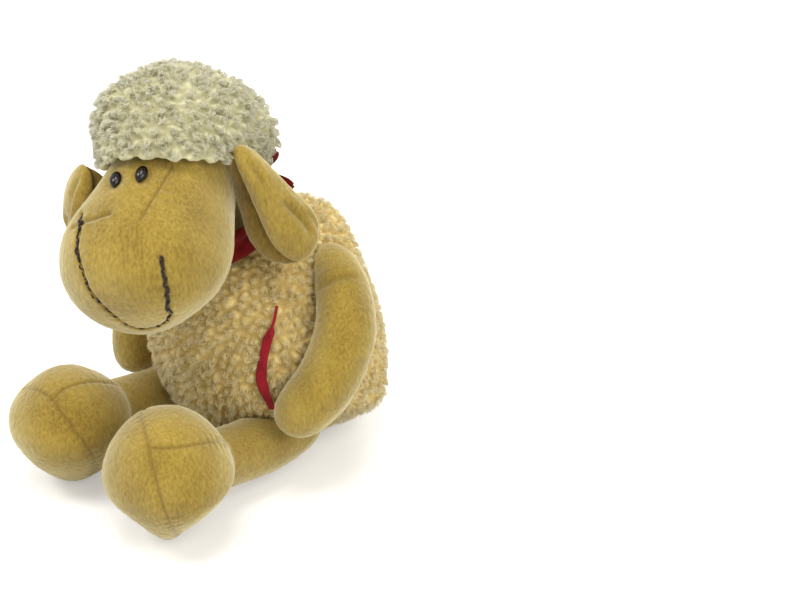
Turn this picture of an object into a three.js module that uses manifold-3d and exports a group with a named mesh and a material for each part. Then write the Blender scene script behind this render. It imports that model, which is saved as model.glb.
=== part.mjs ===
// A sitting plush sheep: stuffed velour head and limbs, a fleece body and cap, a red neckerchief.
// Millimetres, +Z up. It sits on z = 0 and its body faces -Y, so its own left is +X.
import * as THREE from 'three';
import Module from 'manifold-3d';
import { mergeVertices } from 'three/addons/utils/BufferGeometryUtils.js';

const wasm = await Module();
wasm.setup();

// Fits and walls
const fit = 0.3; // gap between pieces that touch
const turningFit = 0.6; // gap where a limb turns against the body
const velourWall = 1.8;
const fleeceWall = 6;
const overrun = 20; // how far a cutter reaches past what it cuts

// Body: an egg, wide and low, cut flat where it sits
const body = {
  width: 117, depth: 109, height: 125,
  seatCut: 3, // the egg is cut this far above its lowest point
  hump: 5, // how far the top of the back leans backwards
  swellShares: [0.9, 1.03, 1.0, 0.9, 0.8],
  fullness: 2.15, rings: 12, sides: 24,
};
const pellets = { width: 70, depth: 62, height: 22, rings: 10, sides: 18 };
const stuffingHole = { diameter: 26 };

// Head: one form from the back of the skull to the nose, turned left and leaning right
const head = {
  // The centre of the skull is the nod pivot. It is placed from the top of the body's middle line:
  // sideways, forward, up. The centre of the muzzle is placed from the skull in the same way.
  skull: [-8, 36, 35.5],
  turn: 28, lean: -14, // degrees
  radius: 36.5,
  nose: [-11, 50, -31],
  noseDepth: 28,
  widthShares: [1.0, 1.0, 0.98, 1.04, 1.13, 1.13], heightShares: [1.0, 1.0, 0.97, 1.0, 1.06, 1.08],
  fullness: 2.9, rings: 14, sides: 24,
};
const cap = {
  // From the centre of the skull: sideways, forward, up
  back: [0, -42, -2], middle: [-2, 5, 4], front: [-4, 50, 15],
  swellShares: [1, 1, 1], fullness: 2.2, rings: 10, sides: 22,
  // Its lower edge seen from the side: forward, up
  edge: [[120, 40], [44, 14.5], [33, 10], [20, 6], [8, 1], [-5, -9], [-12, -16], [-60, -22]],
  opening: 120,
};
const eye = {
  spread: 12.4, width: 5.4, length: 8.4, bulge: 2.2, sides: 14,
  side: 4, forward: -1.3, up: 42.5, // the middle of the pair, from the middle of the muzzle
  stem: 2.2, stemSides: 8, reach: 6,
};
const washer = { diameter: 9, thickness: 1.2, hole: 2.8, sides: 16, depth: 3.2 };
const mouth = {
  thread: 1.3, topHalfWidth: 19, halfWidth: 14, // it narrows towards the bow
  side: 2.5, top: 15, bend: -10, bottom: -23, forward: 26, underForward: 21, steps: 30, sides: 4,
};

// Ears: two layers each, hung on the sides of the fleece cap
const ear = {
  leftRoot: [37, 24, 8], rightRoot: [-46, 20, 6], // from the centre of the skull: sideways, forward, up
  leftHang: [12, -5, -57], rightHang: [-19, 4, -50], // from the root to the tip
  width: 32, thickness: 9, face: 60, // degrees that its broad side turns forwards
  bow: 5, cup: 4, lift: 60,
  widthShares: [0.42, 0.72, 0.98, 1.08, 0.98], thicknessShares: [0.8, 1.0, 1.05, 1.05, 1.0],
  fullness: 2.4, rings: 8, sides: 12,
};

// Neck and neckerchief, square to the line from the middle of the body to the skull
const neck = { diameter: 42, sides: 20, turnRight: -40, turnLeft: 20, nodBack: -8, nodDown: 10 };
const band = { radius: 22.2, height: 13, thickness: 1.6, flare: 3, sides: 28 };
const knot = { width: 13, height: 11, depth: 10, up: 3, rings: 7, sides: 12 };
const tips = {
  ends: [[7, -34, 27.5], [18, -35, 15.5]], // from the middle of the neck: sideways, forward, up
  width: 11, thickness: 1.8, fullness: 2.6, rings: 8, sides: 10,
  widthShares: [0.5, 0.85, 1.05, 1.0], heightShares: [1, 1],
};
const tape = {
  width: 3.4, thickness: 1.2, standOff: 0.5, top: 32, bottom: 83, // down from the top of the body
  degreesShares: [53, 46, 43, 47], // degrees from straight ahead, from its top to its bottom
  steps: 12,
};

// Limbs, given for the left side. An arm's places are measured outwards from the widest line of the
// body's side, forwards from its middle and up from its top; a leg's and a foot's sideways from its
// middle, forwards from the widest line of its front and up from the floor.
const arm = {
  shoulder: [-12.5, -3, -25],
  leftSpine: [[-32.5, -8, -22], [-12.5, -3, -23], [5.5, 9, -38], [10.5, 25, -62], [1.5, 42, -87]],
  rightSpine: [[-32.5, -8, -23], [-13.5, -3, -27], [3.5, 8, -47], [8.5, 20, -73], [5.5, 32, -104]],
  diameter: 31, swellShares: [0.86, 0.9, 0.97, 1.06, 1.14],
  fullness: 2.9, rings: 10, sides: 14,
  swingBack: -22, swingForward: 12, // degrees
};
const leg = {
  hip: [42, -24.5, 19],
  spine: [[35, -50.5, 18], [37, -24.5, 19], [37, 3.5, 22], [36, 35.5, 27]],
  diameter: 27, swellShares: [1.0, 1.0, 1.0, 1.0],
  fullness: 4, rings: 7, sides: 12,
  splayIn: -4, splayOut: 12, // degrees
};
const foot = {
  ankle: [37, 19.5, 22],
  heel: [36, 48.5, -0.5], toe: [36, 43.5, 62],
  width: 61, depth: 58, swellShares: [0.6, 0.8, 0.97, 1.04, 1.0, 0.94],
  floorCut: 0.5,
  fullness: 2.15, rings: 10, sides: 18,
  soleForward: 16, // the sole panel lies this far in front of the middle of the foot
  tilt: -22, // degrees, toe up
};

// Colours
const velour = { color: 0xc4a962, roughness: 0.95, metalness: 0 };
const velourShade = { color: 0xa88a45, roughness: 0.95, metalness: 0 };
const fleece = { color: 0xe4dcc2, roughness: 1, metalness: 0 };
const stuffing = { color: 0xf4f2ec, roughness: 1, metalness: 0 };
const pelletCloth = { color: 0xd9d5cb, roughness: 0.9, metalness: 0 };
const redCloth = { color: 0xa51c2b, roughness: 0.85, metalness: 0 };
const eyePlastic = { color: 0x160c06, roughness: 0.15, metalness: 0 };
const washerPlastic = { color: 0xf0f0f0, roughness: 0.5, metalness: 0 };
const thread = { color: 0x17120f, roughness: 0.8, metalness: 0 };

const radians = THREE.MathUtils.degToRad;
const lengthwise = new THREE.Vector3(0, 1, 0); // the way that three.js makes cylinders and lathes
const vector = ([x, y, z]) => new THREE.Vector3(x, y, z);

// Solids and booleans
function solidOf(geometry) {
  const plain = geometry.clone();
  plain.deleteAttribute('normal');
  plain.deleteAttribute('uv');
  const merged = mergeVertices(plain);
  const vertProperties = new Float32Array(merged.attributes.position.array);
  const triVerts = new Uint32Array(merged.index.array);
  return new wasm.Manifold(new wasm.Mesh({ numProp: 3, vertProperties, triVerts }));
}

function geometryOf(solid) {
  const mesh = solid.getMesh();
  const geometry = new THREE.BufferGeometry();
  geometry.setAttribute('position', new THREE.BufferAttribute(new Float32Array(mesh.vertProperties), 3));
  geometry.setIndex(new THREE.BufferAttribute(new Uint32Array(mesh.triVerts), 1));
  return geometry;
}

function cut(geometry, ...cutters) {
  let solid = solidOf(geometry);
  for (const cutter of cutters) solid = solid.subtract(solidOf(cutter));
  return geometryOf(solid);
}

const common = (geometry, other) => geometryOf(solidOf(geometry).intersect(solidOf(other)));

// A closed mesh through rings of points, drawn together to one point at each end
function loft(rings, firstPole, lastPole) {
  const sides = rings[0].length;
  const points = [firstPole, ...rings.flat(), lastPole];
  const at = (ring, side) => 1 + ring * sides + (side % sides);
  const last = points.length - 1;
  const index = [];
  for (let side = 0; side < sides; side += 1) {
    index.push(0, at(0, side + 1), at(0, side));
    for (let ring = 0; ring < rings.length - 1; ring += 1) {
      index.push(at(ring, side), at(ring, side + 1), at(ring + 1, side + 1));
      index.push(at(ring, side), at(ring + 1, side + 1), at(ring + 1, side));
    }
    index.push(last, at(rings.length - 1, side), at(rings.length - 1, side + 1));
  }
  const geometry = new THREE.BufferGeometry();
  const positions = new Float32Array(points.flatMap((p) => [p.x, p.y, p.z]));
  geometry.setAttribute('position', new THREE.BufferAttribute(positions, 3));
  geometry.setIndex(index);
  return geometry;
}

// A smooth run through evenly spaced shares
function profile(shares) {
  const curve = new THREE.SplineCurve(shares.map((share, i) => new THREE.Vector2(i, share)));
  return (along) => curve.getPoint(along).y;
}

const roundSection = (angle) => [Math.cos(angle), Math.sin(angle)];

// A stuffed form: it swells and tapers along its spine and rounds off at both ends.
// inset draws the whole surface inwards, and a negative inset swells it.
function stuffed(form, inset = 0) {
  const curve = new THREE.CatmullRomCurve3(form.spine);
  const trim = inset / curve.getLength();
  const widthAt = profile(form.widthShares ?? form.swellShares);
  const heightAt = profile(form.heightShares ?? form.swellShares);
  const section = form.section ?? roundSection;
  const rings = [];
  for (let i = 1; i < form.rings; i += 1) {
    const share = (1 - Math.cos((Math.PI * i) / form.rings)) / 2;
    const round = (1 - Math.abs(2 * share - 1) ** form.fullness) ** (1 / form.fullness);
    const along = trim + share * (1 - 2 * trim);
    const centre = onSpine(curve, along);
    const tangent = curve.getTangentAt(THREE.MathUtils.clamp(along, 0, 1));
    const across = new THREE.Vector3().crossVectors(form.up, tangent).normalize();
    const upright = new THREE.Vector3().crossVectors(tangent, across);
    const halfWidth = (form.halfWidth * widthAt(share) - inset) * round;
    const halfHeight = (form.halfHeight * heightAt(share) - inset) * round;
    rings.push(Array.from({ length: form.sides }, (_, side) => {
      const [x, y] = section((2 * Math.PI * side) / form.sides);
      const height = y * halfHeight + (form.lift ?? 0) + (form.cup ?? 0) * x * x * round;
      return centre.clone().addScaledVector(across, x * halfWidth).addScaledVector(upright, height);
    }));
  }
  const poles = [trim, 1 - trim].map((along) => (
    onSpine(curve, along).addScaledVector(form.up, form.lift ?? 0)
  ));
  return loft(rings, ...poles);
}

// A point on a curve, or straight on past its end
function onSpine(curve, along) {
  const inside = THREE.MathUtils.clamp(along, 0, 1);
  const past = (along - inside) * curve.getLength();
  return curve.getPointAt(inside).addScaledVector(curve.getTangentAt(inside), past);
}

function turned(geometry, pivot, axis, angle) {
  const there = new THREE.Matrix4().makeTranslation(pivot.x, pivot.y, pivot.z);
  const back = new THREE.Matrix4().makeTranslation(-pivot.x, -pivot.y, -pivot.z);
  const spin = new THREE.Matrix4().makeRotationAxis(axis, radians(angle));
  return geometry.clone().applyMatrix4(back).applyMatrix4(spin).applyMatrix4(there);
}

// What a neighbour sweeps through, seen from a piece that turns through these angles
const sweptBy = (neighbour, pivot, axis, angles) => (
  angles.map((angle) => turned(neighbour, pivot, axis, -angle))
);

function ball(centre, diameter, sides = 16) {
  return new THREE.SphereGeometry(diameter / 2, sides, sides / 2).translate(centre.x, centre.y, centre.z);
}

function rod(from, to, diameter, sides = 12) {
  const run = new THREE.Vector3().subVectors(to, from);
  const middle = from.clone().add(to).multiplyScalar(0.5);
  const turn = new THREE.Quaternion().setFromUnitVectors(lengthwise, run.clone().normalize());
  const geometry = new THREE.CylinderGeometry(diameter / 2, diameter / 2, run.length(), sides);
  return geometry.applyQuaternion(turn).translate(middle.x, middle.y, middle.z);
}

// Frames
const part = new THREE.Group();
const up = new THREE.Vector3(0, 0, 1);
const forward = new THREE.Vector3(0, -1, 0);

function jointGroup(parent, place) {
  const group = new THREE.Group();
  parent.add(group);
  parent.updateWorldMatrix(true, false);
  group.position.copy(parent.worldToLocal(place.clone()));
  group.updateWorldMatrix(true, false);
  return group;
}

function addPiece(group, name, geometry, look) {
  group.updateWorldMatrix(true, false);
  const local = geometry.clone().applyMatrix4(group.matrixWorld.clone().invert());
  const mesh = new THREE.Mesh(local, new THREE.MeshStandardMaterial(look));
  mesh.name = name;
  group.add(mesh);
  return mesh;
}

// Body forms
const bodyTop = body.height - body.seatCut;
const bodyMiddle = new THREE.Vector3(0, 0, body.height / 2 - body.seatCut);
const bodyForm = {
  spine: [
    new THREE.Vector3(0, -body.hump / 2, -body.seatCut),
    bodyMiddle,
    new THREE.Vector3(0, body.hump, bodyTop),
  ],
  halfWidth: body.width / 2, halfHeight: body.depth / 2, up: forward,
  swellShares: body.swellShares, fullness: body.fullness, rings: body.rings, sides: body.sides,
};
const bodyOuter = stuffed(bodyForm);

function belowSeat(height) {
  const floor = new THREE.BoxGeometry(body.width + overrun, body.depth + overrun, overrun);
  return floor.translate(0, 0, height - overrun / 2);
}

// Head frame: local -Y looks out of the face, local +X is the sheep's left
const headTurn = new THREE.Matrix4().makeRotationFromEuler(
  new THREE.Euler(0, radians(head.lean), radians(head.turn), 'ZYX'),
);
const skull = new THREE.Vector3(head.skull[0], -head.skull[1], bodyTop + head.skull[2]);
const fromSkull = (side, ahead, above) => (
  new THREE.Vector3(side, -ahead, above).applyMatrix4(headTurn).add(skull)
);
const headLeft = new THREE.Vector3(1, 0, 0).transformDirection(headTurn);
const headAhead = new THREE.Vector3(0, -1, 0).transformDirection(headTurn);
const headUp = new THREE.Vector3(0, 0, 1).transformDirection(headTurn);
const noseReach = vector(head.nose).length();
const alongHead = (distance) => fromSkull(...head.nose.map((value) => (value * distance) / noseReach));
const headForm = {
  spine: [alongHead(-head.radius), alongHead(noseReach / 2), alongHead(noseReach + head.noseDepth)],
  halfWidth: head.radius, halfHeight: head.radius, up: headUp,
  widthShares: head.widthShares, heightShares: head.heightShares,
  fullness: head.fullness, rings: head.rings, sides: head.sides,
};
const headOuter = stuffed(headForm);

// Neck line: from the middle of the body to the skull
const neckAxis = new THREE.Vector3().subVectors(skull, bodyMiddle).normalize();

// The outermost point of a form on the ray from an inner point, and the face there
function surfaceHit(geometry, from, direction) {
  const mesh = new THREE.Mesh(geometry, new THREE.MeshBasicMaterial({ side: THREE.DoubleSide }));
  const hits = new THREE.Raycaster(from, direction.clone().normalize()).intersectObject(mesh);
  const { point, face } = hits[hits.length - 1];
  return { point, normal: face.normal.clone() };
}

const evenly = (from, to, steps) => (
  Array.from({ length: steps + 1 }, (_, i) => from + ((to - from) * i) / steps)
);

// A flat strip: each row has its two edges and the way that its face looks
function strip(rows, thickness) {
  const rings = rows.map(({ edges: [left, right], outward }) => {
    const lifted = (edge) => edge.clone().addScaledVector(outward, thickness);
    return [left, right, lifted(right), lifted(left)];
  });
  const sum = (ring) => ring.reduce((total, point) => total.add(point), new THREE.Vector3());
  const middle = (ring) => sum(ring).divideScalar(ring.length);
  return upwards(loft(rings, middle(rings[0]), middle(rings[rings.length - 1])));
}

// Faces looking out, whichever way round the rings were made
function upwards(geometry) {
  const { position } = geometry.attributes;
  const corner = (i) => new THREE.Vector3().fromBufferAttribute(position, geometry.index.getX(i));
  let volume = 0;
  for (let i = 0; i < geometry.index.count; i += 3) {
    volume += corner(i).dot(corner(i + 1).cross(corner(i + 2)));
  }
  if (volume < 0) geometry.setIndex(Array.from(geometry.index.array).reverse());
  return geometry;
}

// Body: fleece skin, stuffing and a bag of pellets low down
const torsoGroup = jointGroup(part, new THREE.Vector3());
const neckSeat = surfaceHit(bodyOuter, bodyMiddle, neckAxis).point;
const pelletForm = {
  spine: [-1, 0, 1].map((way) => new THREE.Vector3(0, 0, way * pellets.height)),
  halfWidth: pellets.width / 2, halfHeight: pellets.depth / 2, up: forward,
  swellShares: [1, 1, 1], fullness: 2, rings: pellets.rings, sides: pellets.sides,
};

function addBody() {
  const skin = cut(
    bodyOuter, stuffed(bodyForm, fleeceWall), belowSeat(0), ball(neckSeat, stuffingHole.diameter),
  );
  addPiece(torsoGroup, 'body_skin', skin, fleece);
  const inside = stuffed(bodyForm, fleeceWall + fit);
  addPiece(torsoGroup, 'body_filling', cut(inside, stuffed(pelletForm, -fit)), stuffing);
  addPiece(torsoGroup, 'pellet_bag', common(inside, stuffed(pelletForm)), pelletCloth);
}

function addSideTape() {
  const azimuthAt = profile(tape.degreesShares);
  const rows = evenly(0, 1, tape.steps).map((share) => {
    const height = bodyTop - THREE.MathUtils.lerp(tape.top, tape.bottom, share);
    const azimuth = radians(azimuthAt(share));
    const outward = new THREE.Vector3(Math.sin(azimuth), -Math.cos(azimuth), 0);
    const sideways = new THREE.Vector3(Math.cos(azimuth), Math.sin(azimuth), 0);
    const { point, normal } = surfaceHit(bodyOuter, new THREE.Vector3(0, 0, height), outward);
    const base = point.addScaledVector(normal, tape.standOff);
    const edges = [-1, 1].map((way) => base.clone().addScaledVector(sideways, (way * tape.width) / 2));
    return { edges, outward: normal };
  });
  addPiece(torsoGroup, 'side_tape', strip(rows, tape.thickness), redCloth);
}

// Neck: stuffing between the body and the head, shaped by both through their whole travel
const headSeat = surfaceHit(headOuter, skull, neckAxis.clone().negate()).point;
const neckMiddle = neckSeat.clone().add(headSeat).multiplyScalar(0.5);
const neckGroup = jointGroup(part, neckMiddle);
const neckTurns = evenly(neck.turnRight, neck.turnLeft, 2);
const headNods = evenly(-neck.nodDown, -neck.nodBack, 2);
const neckNeighbours = [
  ...sweptBy(stuffed(bodyForm, -turningFit), neckMiddle, neckAxis, neckTurns),
  ...sweptBy(stuffed(headForm, -turningFit), skull, headLeft, headNods),
];
// The front of the neck, square to the neck line
const neckFront = headAhead.clone().projectOnPlane(neckAxis).normalize();
const neckSide = new THREE.Vector3().crossVectors(neckAxis, neckFront).negate();
const aroundNeck = (azimuth, radius, height) => neckMiddle.clone()
  .addScaledVector(neckFront, radius * Math.cos(azimuth))
  .addScaledVector(neckSide, radius * Math.sin(azimuth))
  .addScaledVector(neckAxis, height);

function addNeck() {
  const filling = cut(ball(neckMiddle, neck.diameter, neck.sides), ...neckNeighbours);
  addPiece(neckGroup, 'neck_filling', filling, stuffing);
}

// Neckerchief: a band round the neck, a bib on the chest, a knot and two tips at the nape
function addNeckerchief() {
  const outer = band.radius + band.thickness;
  const outline = [
    [band.radius, band.height / 2], [outer, band.height / 2], [outer + band.flare, -band.height / 2],
    [band.radius + band.flare, -band.height / 2], [band.radius, band.height / 2],
  ];
  const ring = new THREE.LatheGeometry(outline.map(([x, y]) => new THREE.Vector2(x, y)), band.sides);
  ring.applyQuaternion(new THREE.Quaternion().setFromUnitVectors(lengthwise, neckAxis));
  ring.translate(neckMiddle.x, neckMiddle.y, neckMiddle.z);
  const whole = upwards(geometryOf(solidOf(ring)));
  addPiece(neckGroup, 'neckerchief_band', cut(whole, ...neckNeighbours), redCloth);
}

function addKnot() {
  const bandRadius = band.radius + band.thickness + band.flare * (0.5 - knot.up / band.height);
  const middle = aroundNeck(Math.PI, bandRadius + fit + knot.depth / 2, knot.up);
  const reach = neckSide.clone().multiplyScalar(knot.width / 2);
  const form = {
    spine: [middle.clone().sub(reach), middle, middle.clone().add(reach)],
    halfWidth: knot.depth / 2, halfHeight: knot.height / 2, up: neckAxis,
    swellShares: [1, 1, 1], fullness: 2.2, rings: knot.rings, sides: knot.sides,
  };
  const knotForm = stuffed(form);
  const knotSpace = stuffed(form, -fit);
  addPiece(neckGroup, 'neckerchief_knot', cut(knotForm, ...neckNeighbours), redCloth);
  tips.ends.forEach(([sideways, ahead, above], i) => {
    const tipEnd = neckMiddle.clone().add(new THREE.Vector3(sideways, -ahead, above));
    const tipForm = {
      spine: [middle, middle.clone().lerp(tipEnd, 0.5), tipEnd],
      halfWidth: tips.width / 2, halfHeight: tips.thickness / 2, up: neckFront,
      widthShares: tips.widthShares, heightShares: tips.heightShares,
      fullness: tips.fullness, rings: tips.rings, sides: tips.sides,
    };
    const name = `neckerchief_tip_${['upper', 'lower'][i]}`;
    addPiece(neckGroup, name, cut(stuffed(tipForm), knotSpace, ...neckNeighbours), redCloth);
  });
}

// Head
const headGroup = jointGroup(neckGroup, skull);
const noseMiddle = fromSkull(...head.nose);
const fromNose = (...place) => fromSkull(...head.nose.map((value, i) => value + place[i]));

function eyeSeat(side) {
  const target = fromNose(eye.side + (side * eye.spread) / 2, eye.forward, eye.up);
  return surfaceHit(headOuter, noseMiddle, target.sub(noseMiddle));
}

function addEye(side, label) {
  const { point, normal } = eyeSeat(side);
  const face = point.clone().addScaledVector(normal, fit);
  const outline = evenly(0, Math.PI / 2, 4).map((angle) => (
    new THREE.Vector2(Math.cos(angle), (2 * eye.bulge * Math.sin(angle)) / eye.width)
  ));
  const dome = new THREE.LatheGeometry([new THREE.Vector2(0, 0), ...outline], eye.sides);
  dome.scale(eye.width / 2, eye.width / 2, eye.length / 2);
  const across = new THREE.Vector3().crossVectors(headAhead, normal).normalize();
  const upright = new THREE.Vector3().crossVectors(across, normal);
  dome.applyMatrix4(new THREE.Matrix4().makeBasis(across, normal, upright)).translate(face.x, face.y, face.z);
  const [stemFoot, stemTop] = [-eye.reach, fit].map((height) => face.clone().addScaledVector(normal, height));
  const stem = rod(stemFoot, stemTop, eye.stem, eye.stemSides);
  const whole = solidOf(upwards(geometryOf(solidOf(dome)))).add(solidOf(stem));
  addPiece(headGroup, `eye_${label}`, geometryOf(whole), eyePlastic);
  const washerTop = point.clone().addScaledVector(normal, -washer.depth);
  const washerEnd = washerTop.clone().addScaledVector(normal, -washer.thickness);
  const ring = cut(
    rod(washerEnd, washerTop, washer.diameter, washer.sides),
    rod(stemEnd(point, normal), point, washer.hole),
  );
  addPiece(headGroup, `eye_washer_${label}`, ring, washerPlastic);
}

const stemEnd = (point, normal) => point.clone().addScaledVector(normal, -eye.reach - 2 * fit);
const stemHole = ({ point, normal }) => (
  rod(stemEnd(point, normal), point.clone().addScaledVector(normal, overrun), washer.hole)
);
const washerPocket = ({ point, normal }) => {
  const above = point.clone().addScaledVector(normal, overrun);
  return rod(stemEnd(point, normal), above, washer.diameter + 2 * fit, washer.sides);
};

// The mouth runs down one cheek, round under the muzzle and up the other cheek
function mouthPath() {
  const bow = mouth.bend - mouth.bottom;
  const straight = evenly(0, 1, 3).slice(0, -1).map((share) => [
    THREE.MathUtils.lerp(mouth.topHalfWidth, mouth.halfWidth, share),
    mouth.forward,
    THREE.MathUtils.lerp(mouth.top, mouth.bend, share),
  ]);
  const right = straight.map(([across, ahead, above]) => [-across, ahead, above]);
  const under = evenly(Math.PI, 0, 8).map((angle) => [
    mouth.halfWidth * Math.cos(angle),
    THREE.MathUtils.lerp(mouth.forward, mouth.underForward, Math.sin(angle)),
    mouth.bend - bow * Math.sin(angle),
  ]);
  const lift = mouth.thread / 2 + 2 * fit;
  return [...right, ...under, ...straight.reverse()].map(([across, ahead, above]) => {
    const target = fromNose(mouth.side + across, ahead, above);
    const { point, normal } = surfaceHit(headOuter, noseMiddle, target.sub(noseMiddle));
    return point.addScaledVector(normal, lift);
  });
}

function addHead() {
  const seats = [-1, 1].map(eyeSeat);
  const hole = ball(headSeat, stuffingHole.diameter);
  const skin = cut(headOuter, stuffed(headForm, velourWall), hole, ...seats.map(stemHole));
  addPiece(headGroup, 'head_skin', skin, velour);
  const filling = cut(stuffed(headForm, velourWall + fit), ...seats.map(washerPocket));
  addPiece(headGroup, 'head_filling', filling, stuffing);
  const section = new THREE.Shape(evenly(0, 2 * Math.PI, mouth.sides).slice(0, -1).map((angle) => (
    new THREE.Vector2(Math.cos(angle), Math.sin(angle)).multiplyScalar(mouth.thread / 2)
  )));
  const path = new THREE.CatmullRomCurve3(mouthPath());
  const options = { extrudePath: path, steps: mouth.steps, curveSegments: 1 };
  const stitch = new THREE.ExtrudeGeometry(section, options);
  addPiece(headGroup, 'mouth_thread', geometryOf(solidOf(stitch)), thread);
}

// The fleece cap: a round mass over the skull, open over the face and notched where the ears turn
function addCap() {
  const [[front], [back]] = [cap.edge[0], cap.edge.at(-1)];
  const outline = [...cap.edge, [back, -cap.opening], [front, -cap.opening]];
  const side = new THREE.Shape(outline.map((place) => new THREE.Vector2(...place)));
  const face = new THREE.ExtrudeGeometry(side, { depth: cap.opening, bevelEnabled: false });
  face.translate(0, 0, -cap.opening / 2);
  face.applyMatrix4(new THREE.Matrix4().makeBasis(
    new THREE.Vector3(0, -1, 0), new THREE.Vector3(0, 0, 1), new THREE.Vector3(-1, 0, 0),
  ));
  face.applyMatrix4(headTurn).translate(skull.x, skull.y, skull.z);
  const mass = stuffed({
    spine: [cap.back, cap.middle, cap.front].map((place) => fromSkull(...place)),
    halfWidth: head.radius + fleeceWall, halfHeight: head.radius + fleeceWall, up: headUp,
    swellShares: cap.swellShares, fullness: cap.fullness, rings: cap.rings, sides: cap.sides,
  });
  const ears = [1, -1].flatMap((way) => {
    const { root, axis, form } = earFrame(way);
    const whole = stuffed({ ...form, section: roundSection }, -turningFit);
    return evenly(0, ear.lift, 3).map((angle) => turned(whole, root, axis, angle));
  });
  addPiece(headGroup, 'wool_cap', cut(mass, stuffed(headForm, -fit), face, ...ears), fleece);
}

// An ear hangs from its root and lifts outwards there
function earFrame(side) {
  const [place, hang] = side > 0 ? [ear.leftRoot, ear.leftHang] : [ear.rightRoot, ear.rightHang];
  const root = fromSkull(...place);
  const end = fromSkull(...place.map((value, i) => value + hang[i]));
  const outward = headLeft.clone().multiplyScalar(side);
  const bow = root.clone().lerp(end, 0.5).addScaledVector(outward, ear.bow);
  const face = outward.clone().multiplyScalar(Math.cos(radians(ear.face)))
    .addScaledVector(headAhead, Math.sin(radians(ear.face)));
  const form = {
    spine: [root, bow, end],
    halfWidth: ear.width / 2, halfHeight: ear.thickness / 2, up: face, cup: -ear.cup,
    widthShares: ear.widthShares, heightShares: ear.thicknessShares,
    fullness: ear.fullness, rings: ear.rings, sides: ear.sides,
  };
  return { root, axis: headAhead.clone().multiplyScalar(side), form };
}

// Its lining lies against the head and its outer layer over it
function addEar(side, label) {
  const { root, form } = earFrame(side);
  const group = jointGroup(headGroup, root);
  for (const [layer, way, look] of [['outer', 1, velour], ['lining', -1, velourShade]]) {
    const half = {
      ...form,
      section: (angle) => [Math.cos(angle), way * Math.max(way * Math.sin(angle), 0)],
      lift: (way * fit) / 2,
    };
    addPiece(group, `ear_${label}_${layer}`, stuffed(half), look);
  }
}

// Limbs: a velour skin and its stuffing, both ending where the larger pieces they meet begin
function addLimb(group, name, form, neighbours) {
  const skin = cut(stuffed(form), stuffed(form, velourWall), ...neighbours);
  addPiece(group, `${name}_skin`, skin, velour);
  addPiece(group, `${name}_filling`, cut(stuffed(form, velourWall + fit), ...neighbours), stuffing);
}

const besideBody = ([out, ahead, above], side) => (
  new THREE.Vector3(side * (body.width / 2 + out), -ahead, bodyTop + above)
);
const beforeBody = ([sideways, ahead, above], side) => (
  new THREE.Vector3(side * sideways, -body.depth / 2 - ahead, above)
);

function addArm(side, label) {
  const pivot = besideBody(arm.shoulder, side);
  const axis = pivot.clone().sub(bodyMiddle).normalize().multiplyScalar(-side);
  const form = {
    spine: (side > 0 ? arm.leftSpine : arm.rightSpine).map((place) => besideBody(place, side)),
    halfWidth: arm.diameter / 2, halfHeight: arm.diameter / 2, up: forward,
    swellShares: arm.swellShares, fullness: arm.fullness, rings: arm.rings, sides: arm.sides,
  };
  const angles = evenly(arm.swingBack, arm.swingForward, 4);
  const neighbours = sweptBy(stuffed(bodyForm, -turningFit), pivot, axis, angles);
  addLimb(jointGroup(torsoGroup, pivot), `arm_${label}`, form, neighbours);
}

function addLeg(side, label) {
  const hip = beforeBody(leg.hip, side);
  const ankle = beforeBody(foot.ankle, side);
  const hipAxis = up.clone().multiplyScalar(side);
  const ankleAxis = new THREE.Vector3(1, 0, 0);
  const form = {
    spine: leg.spine.map((place) => beforeBody(place, side)),
    halfWidth: leg.diameter / 2, halfHeight: leg.diameter / 2, up,
    swellShares: leg.swellShares, fullness: leg.fullness, rings: leg.rings, sides: leg.sides,
  };
  const heel = beforeBody(foot.heel, side);
  const toe = beforeBody(foot.toe, side);
  const footForm = {
    spine: [heel, heel.clone().lerp(toe, 0.5), toe],
    halfWidth: foot.width / 2, halfHeight: foot.depth / 2, up: forward,
    swellShares: foot.swellShares, fullness: foot.fullness, rings: foot.rings, sides: foot.sides,
  };
  const splay = evenly(leg.splayIn, leg.splayOut, 3);
  const tilts = evenly(0, foot.tilt, 2);
  const neighbours = [
    ...sweptBy(stuffed(bodyForm, -turningFit), hip, hipAxis, splay),
    ...sweptBy(stuffed(footForm, -turningFit), ankle, ankleAxis, tilts.map((angle) => -angle)),
  ];
  const group = jointGroup(torsoGroup, hip);
  addLimb(group, `leg_${label}`, form, neighbours);
  addFoot(jointGroup(group, ankle), label, footForm);
}

// A foot: the upper, the sole panel in front of it, and their stuffing
function addFoot(group, label, form) {
  const floor = belowSeat(0).translate(0, form.spine[1].y, 0);
  const shell = cut(stuffed(form), stuffed(form, velourWall), floor);
  const reach = foot.width + overrun;
  const front = (gap) => {
    const block = new THREE.BoxGeometry(reach, reach, 2 * reach);
    const { x, y, z } = form.spine[1];
    return block.translate(x, y - reach / 2 - foot.soleForward + gap, z);
  };
  const ankleHole = ball(footBack(form), stuffingHole.diameter - overrun / 4);
  addPiece(group, `foot_${label}_upper`, cut(shell, front(fit), ankleHole), velour);
  addPiece(group, `foot_${label}_sole`, common(shell, front(0)), velour);
  const filling = cut(stuffed(form, velourWall + fit), floor);
  addPiece(group, `foot_${label}_filling`, filling, stuffing);
}

const footBack = (form) => (
  surfaceHit(stuffed(form), form.spine[1], new THREE.Vector3(0, 1, 0)).point
);

addBody();
addSideTape();
addNeck();
addNeckerchief();
addKnot();
addHead();
addCap();
for (const [side, label] of [[1, 'left'], [-1, 'right']]) {
  addEye(side, label);
  addEar(side, label);
  addArm(side, label);
  addLeg(side, label);
}

export default part;
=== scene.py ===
"""The looks of a sitting plush sheep: velour head and limbs, fleece body and cap, a red neckerchief.

The forms repeat the sizes of the CAD part in millimetres, in its frame, and become metres as meshes.
"""
import math
from types import SimpleNamespace

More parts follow.
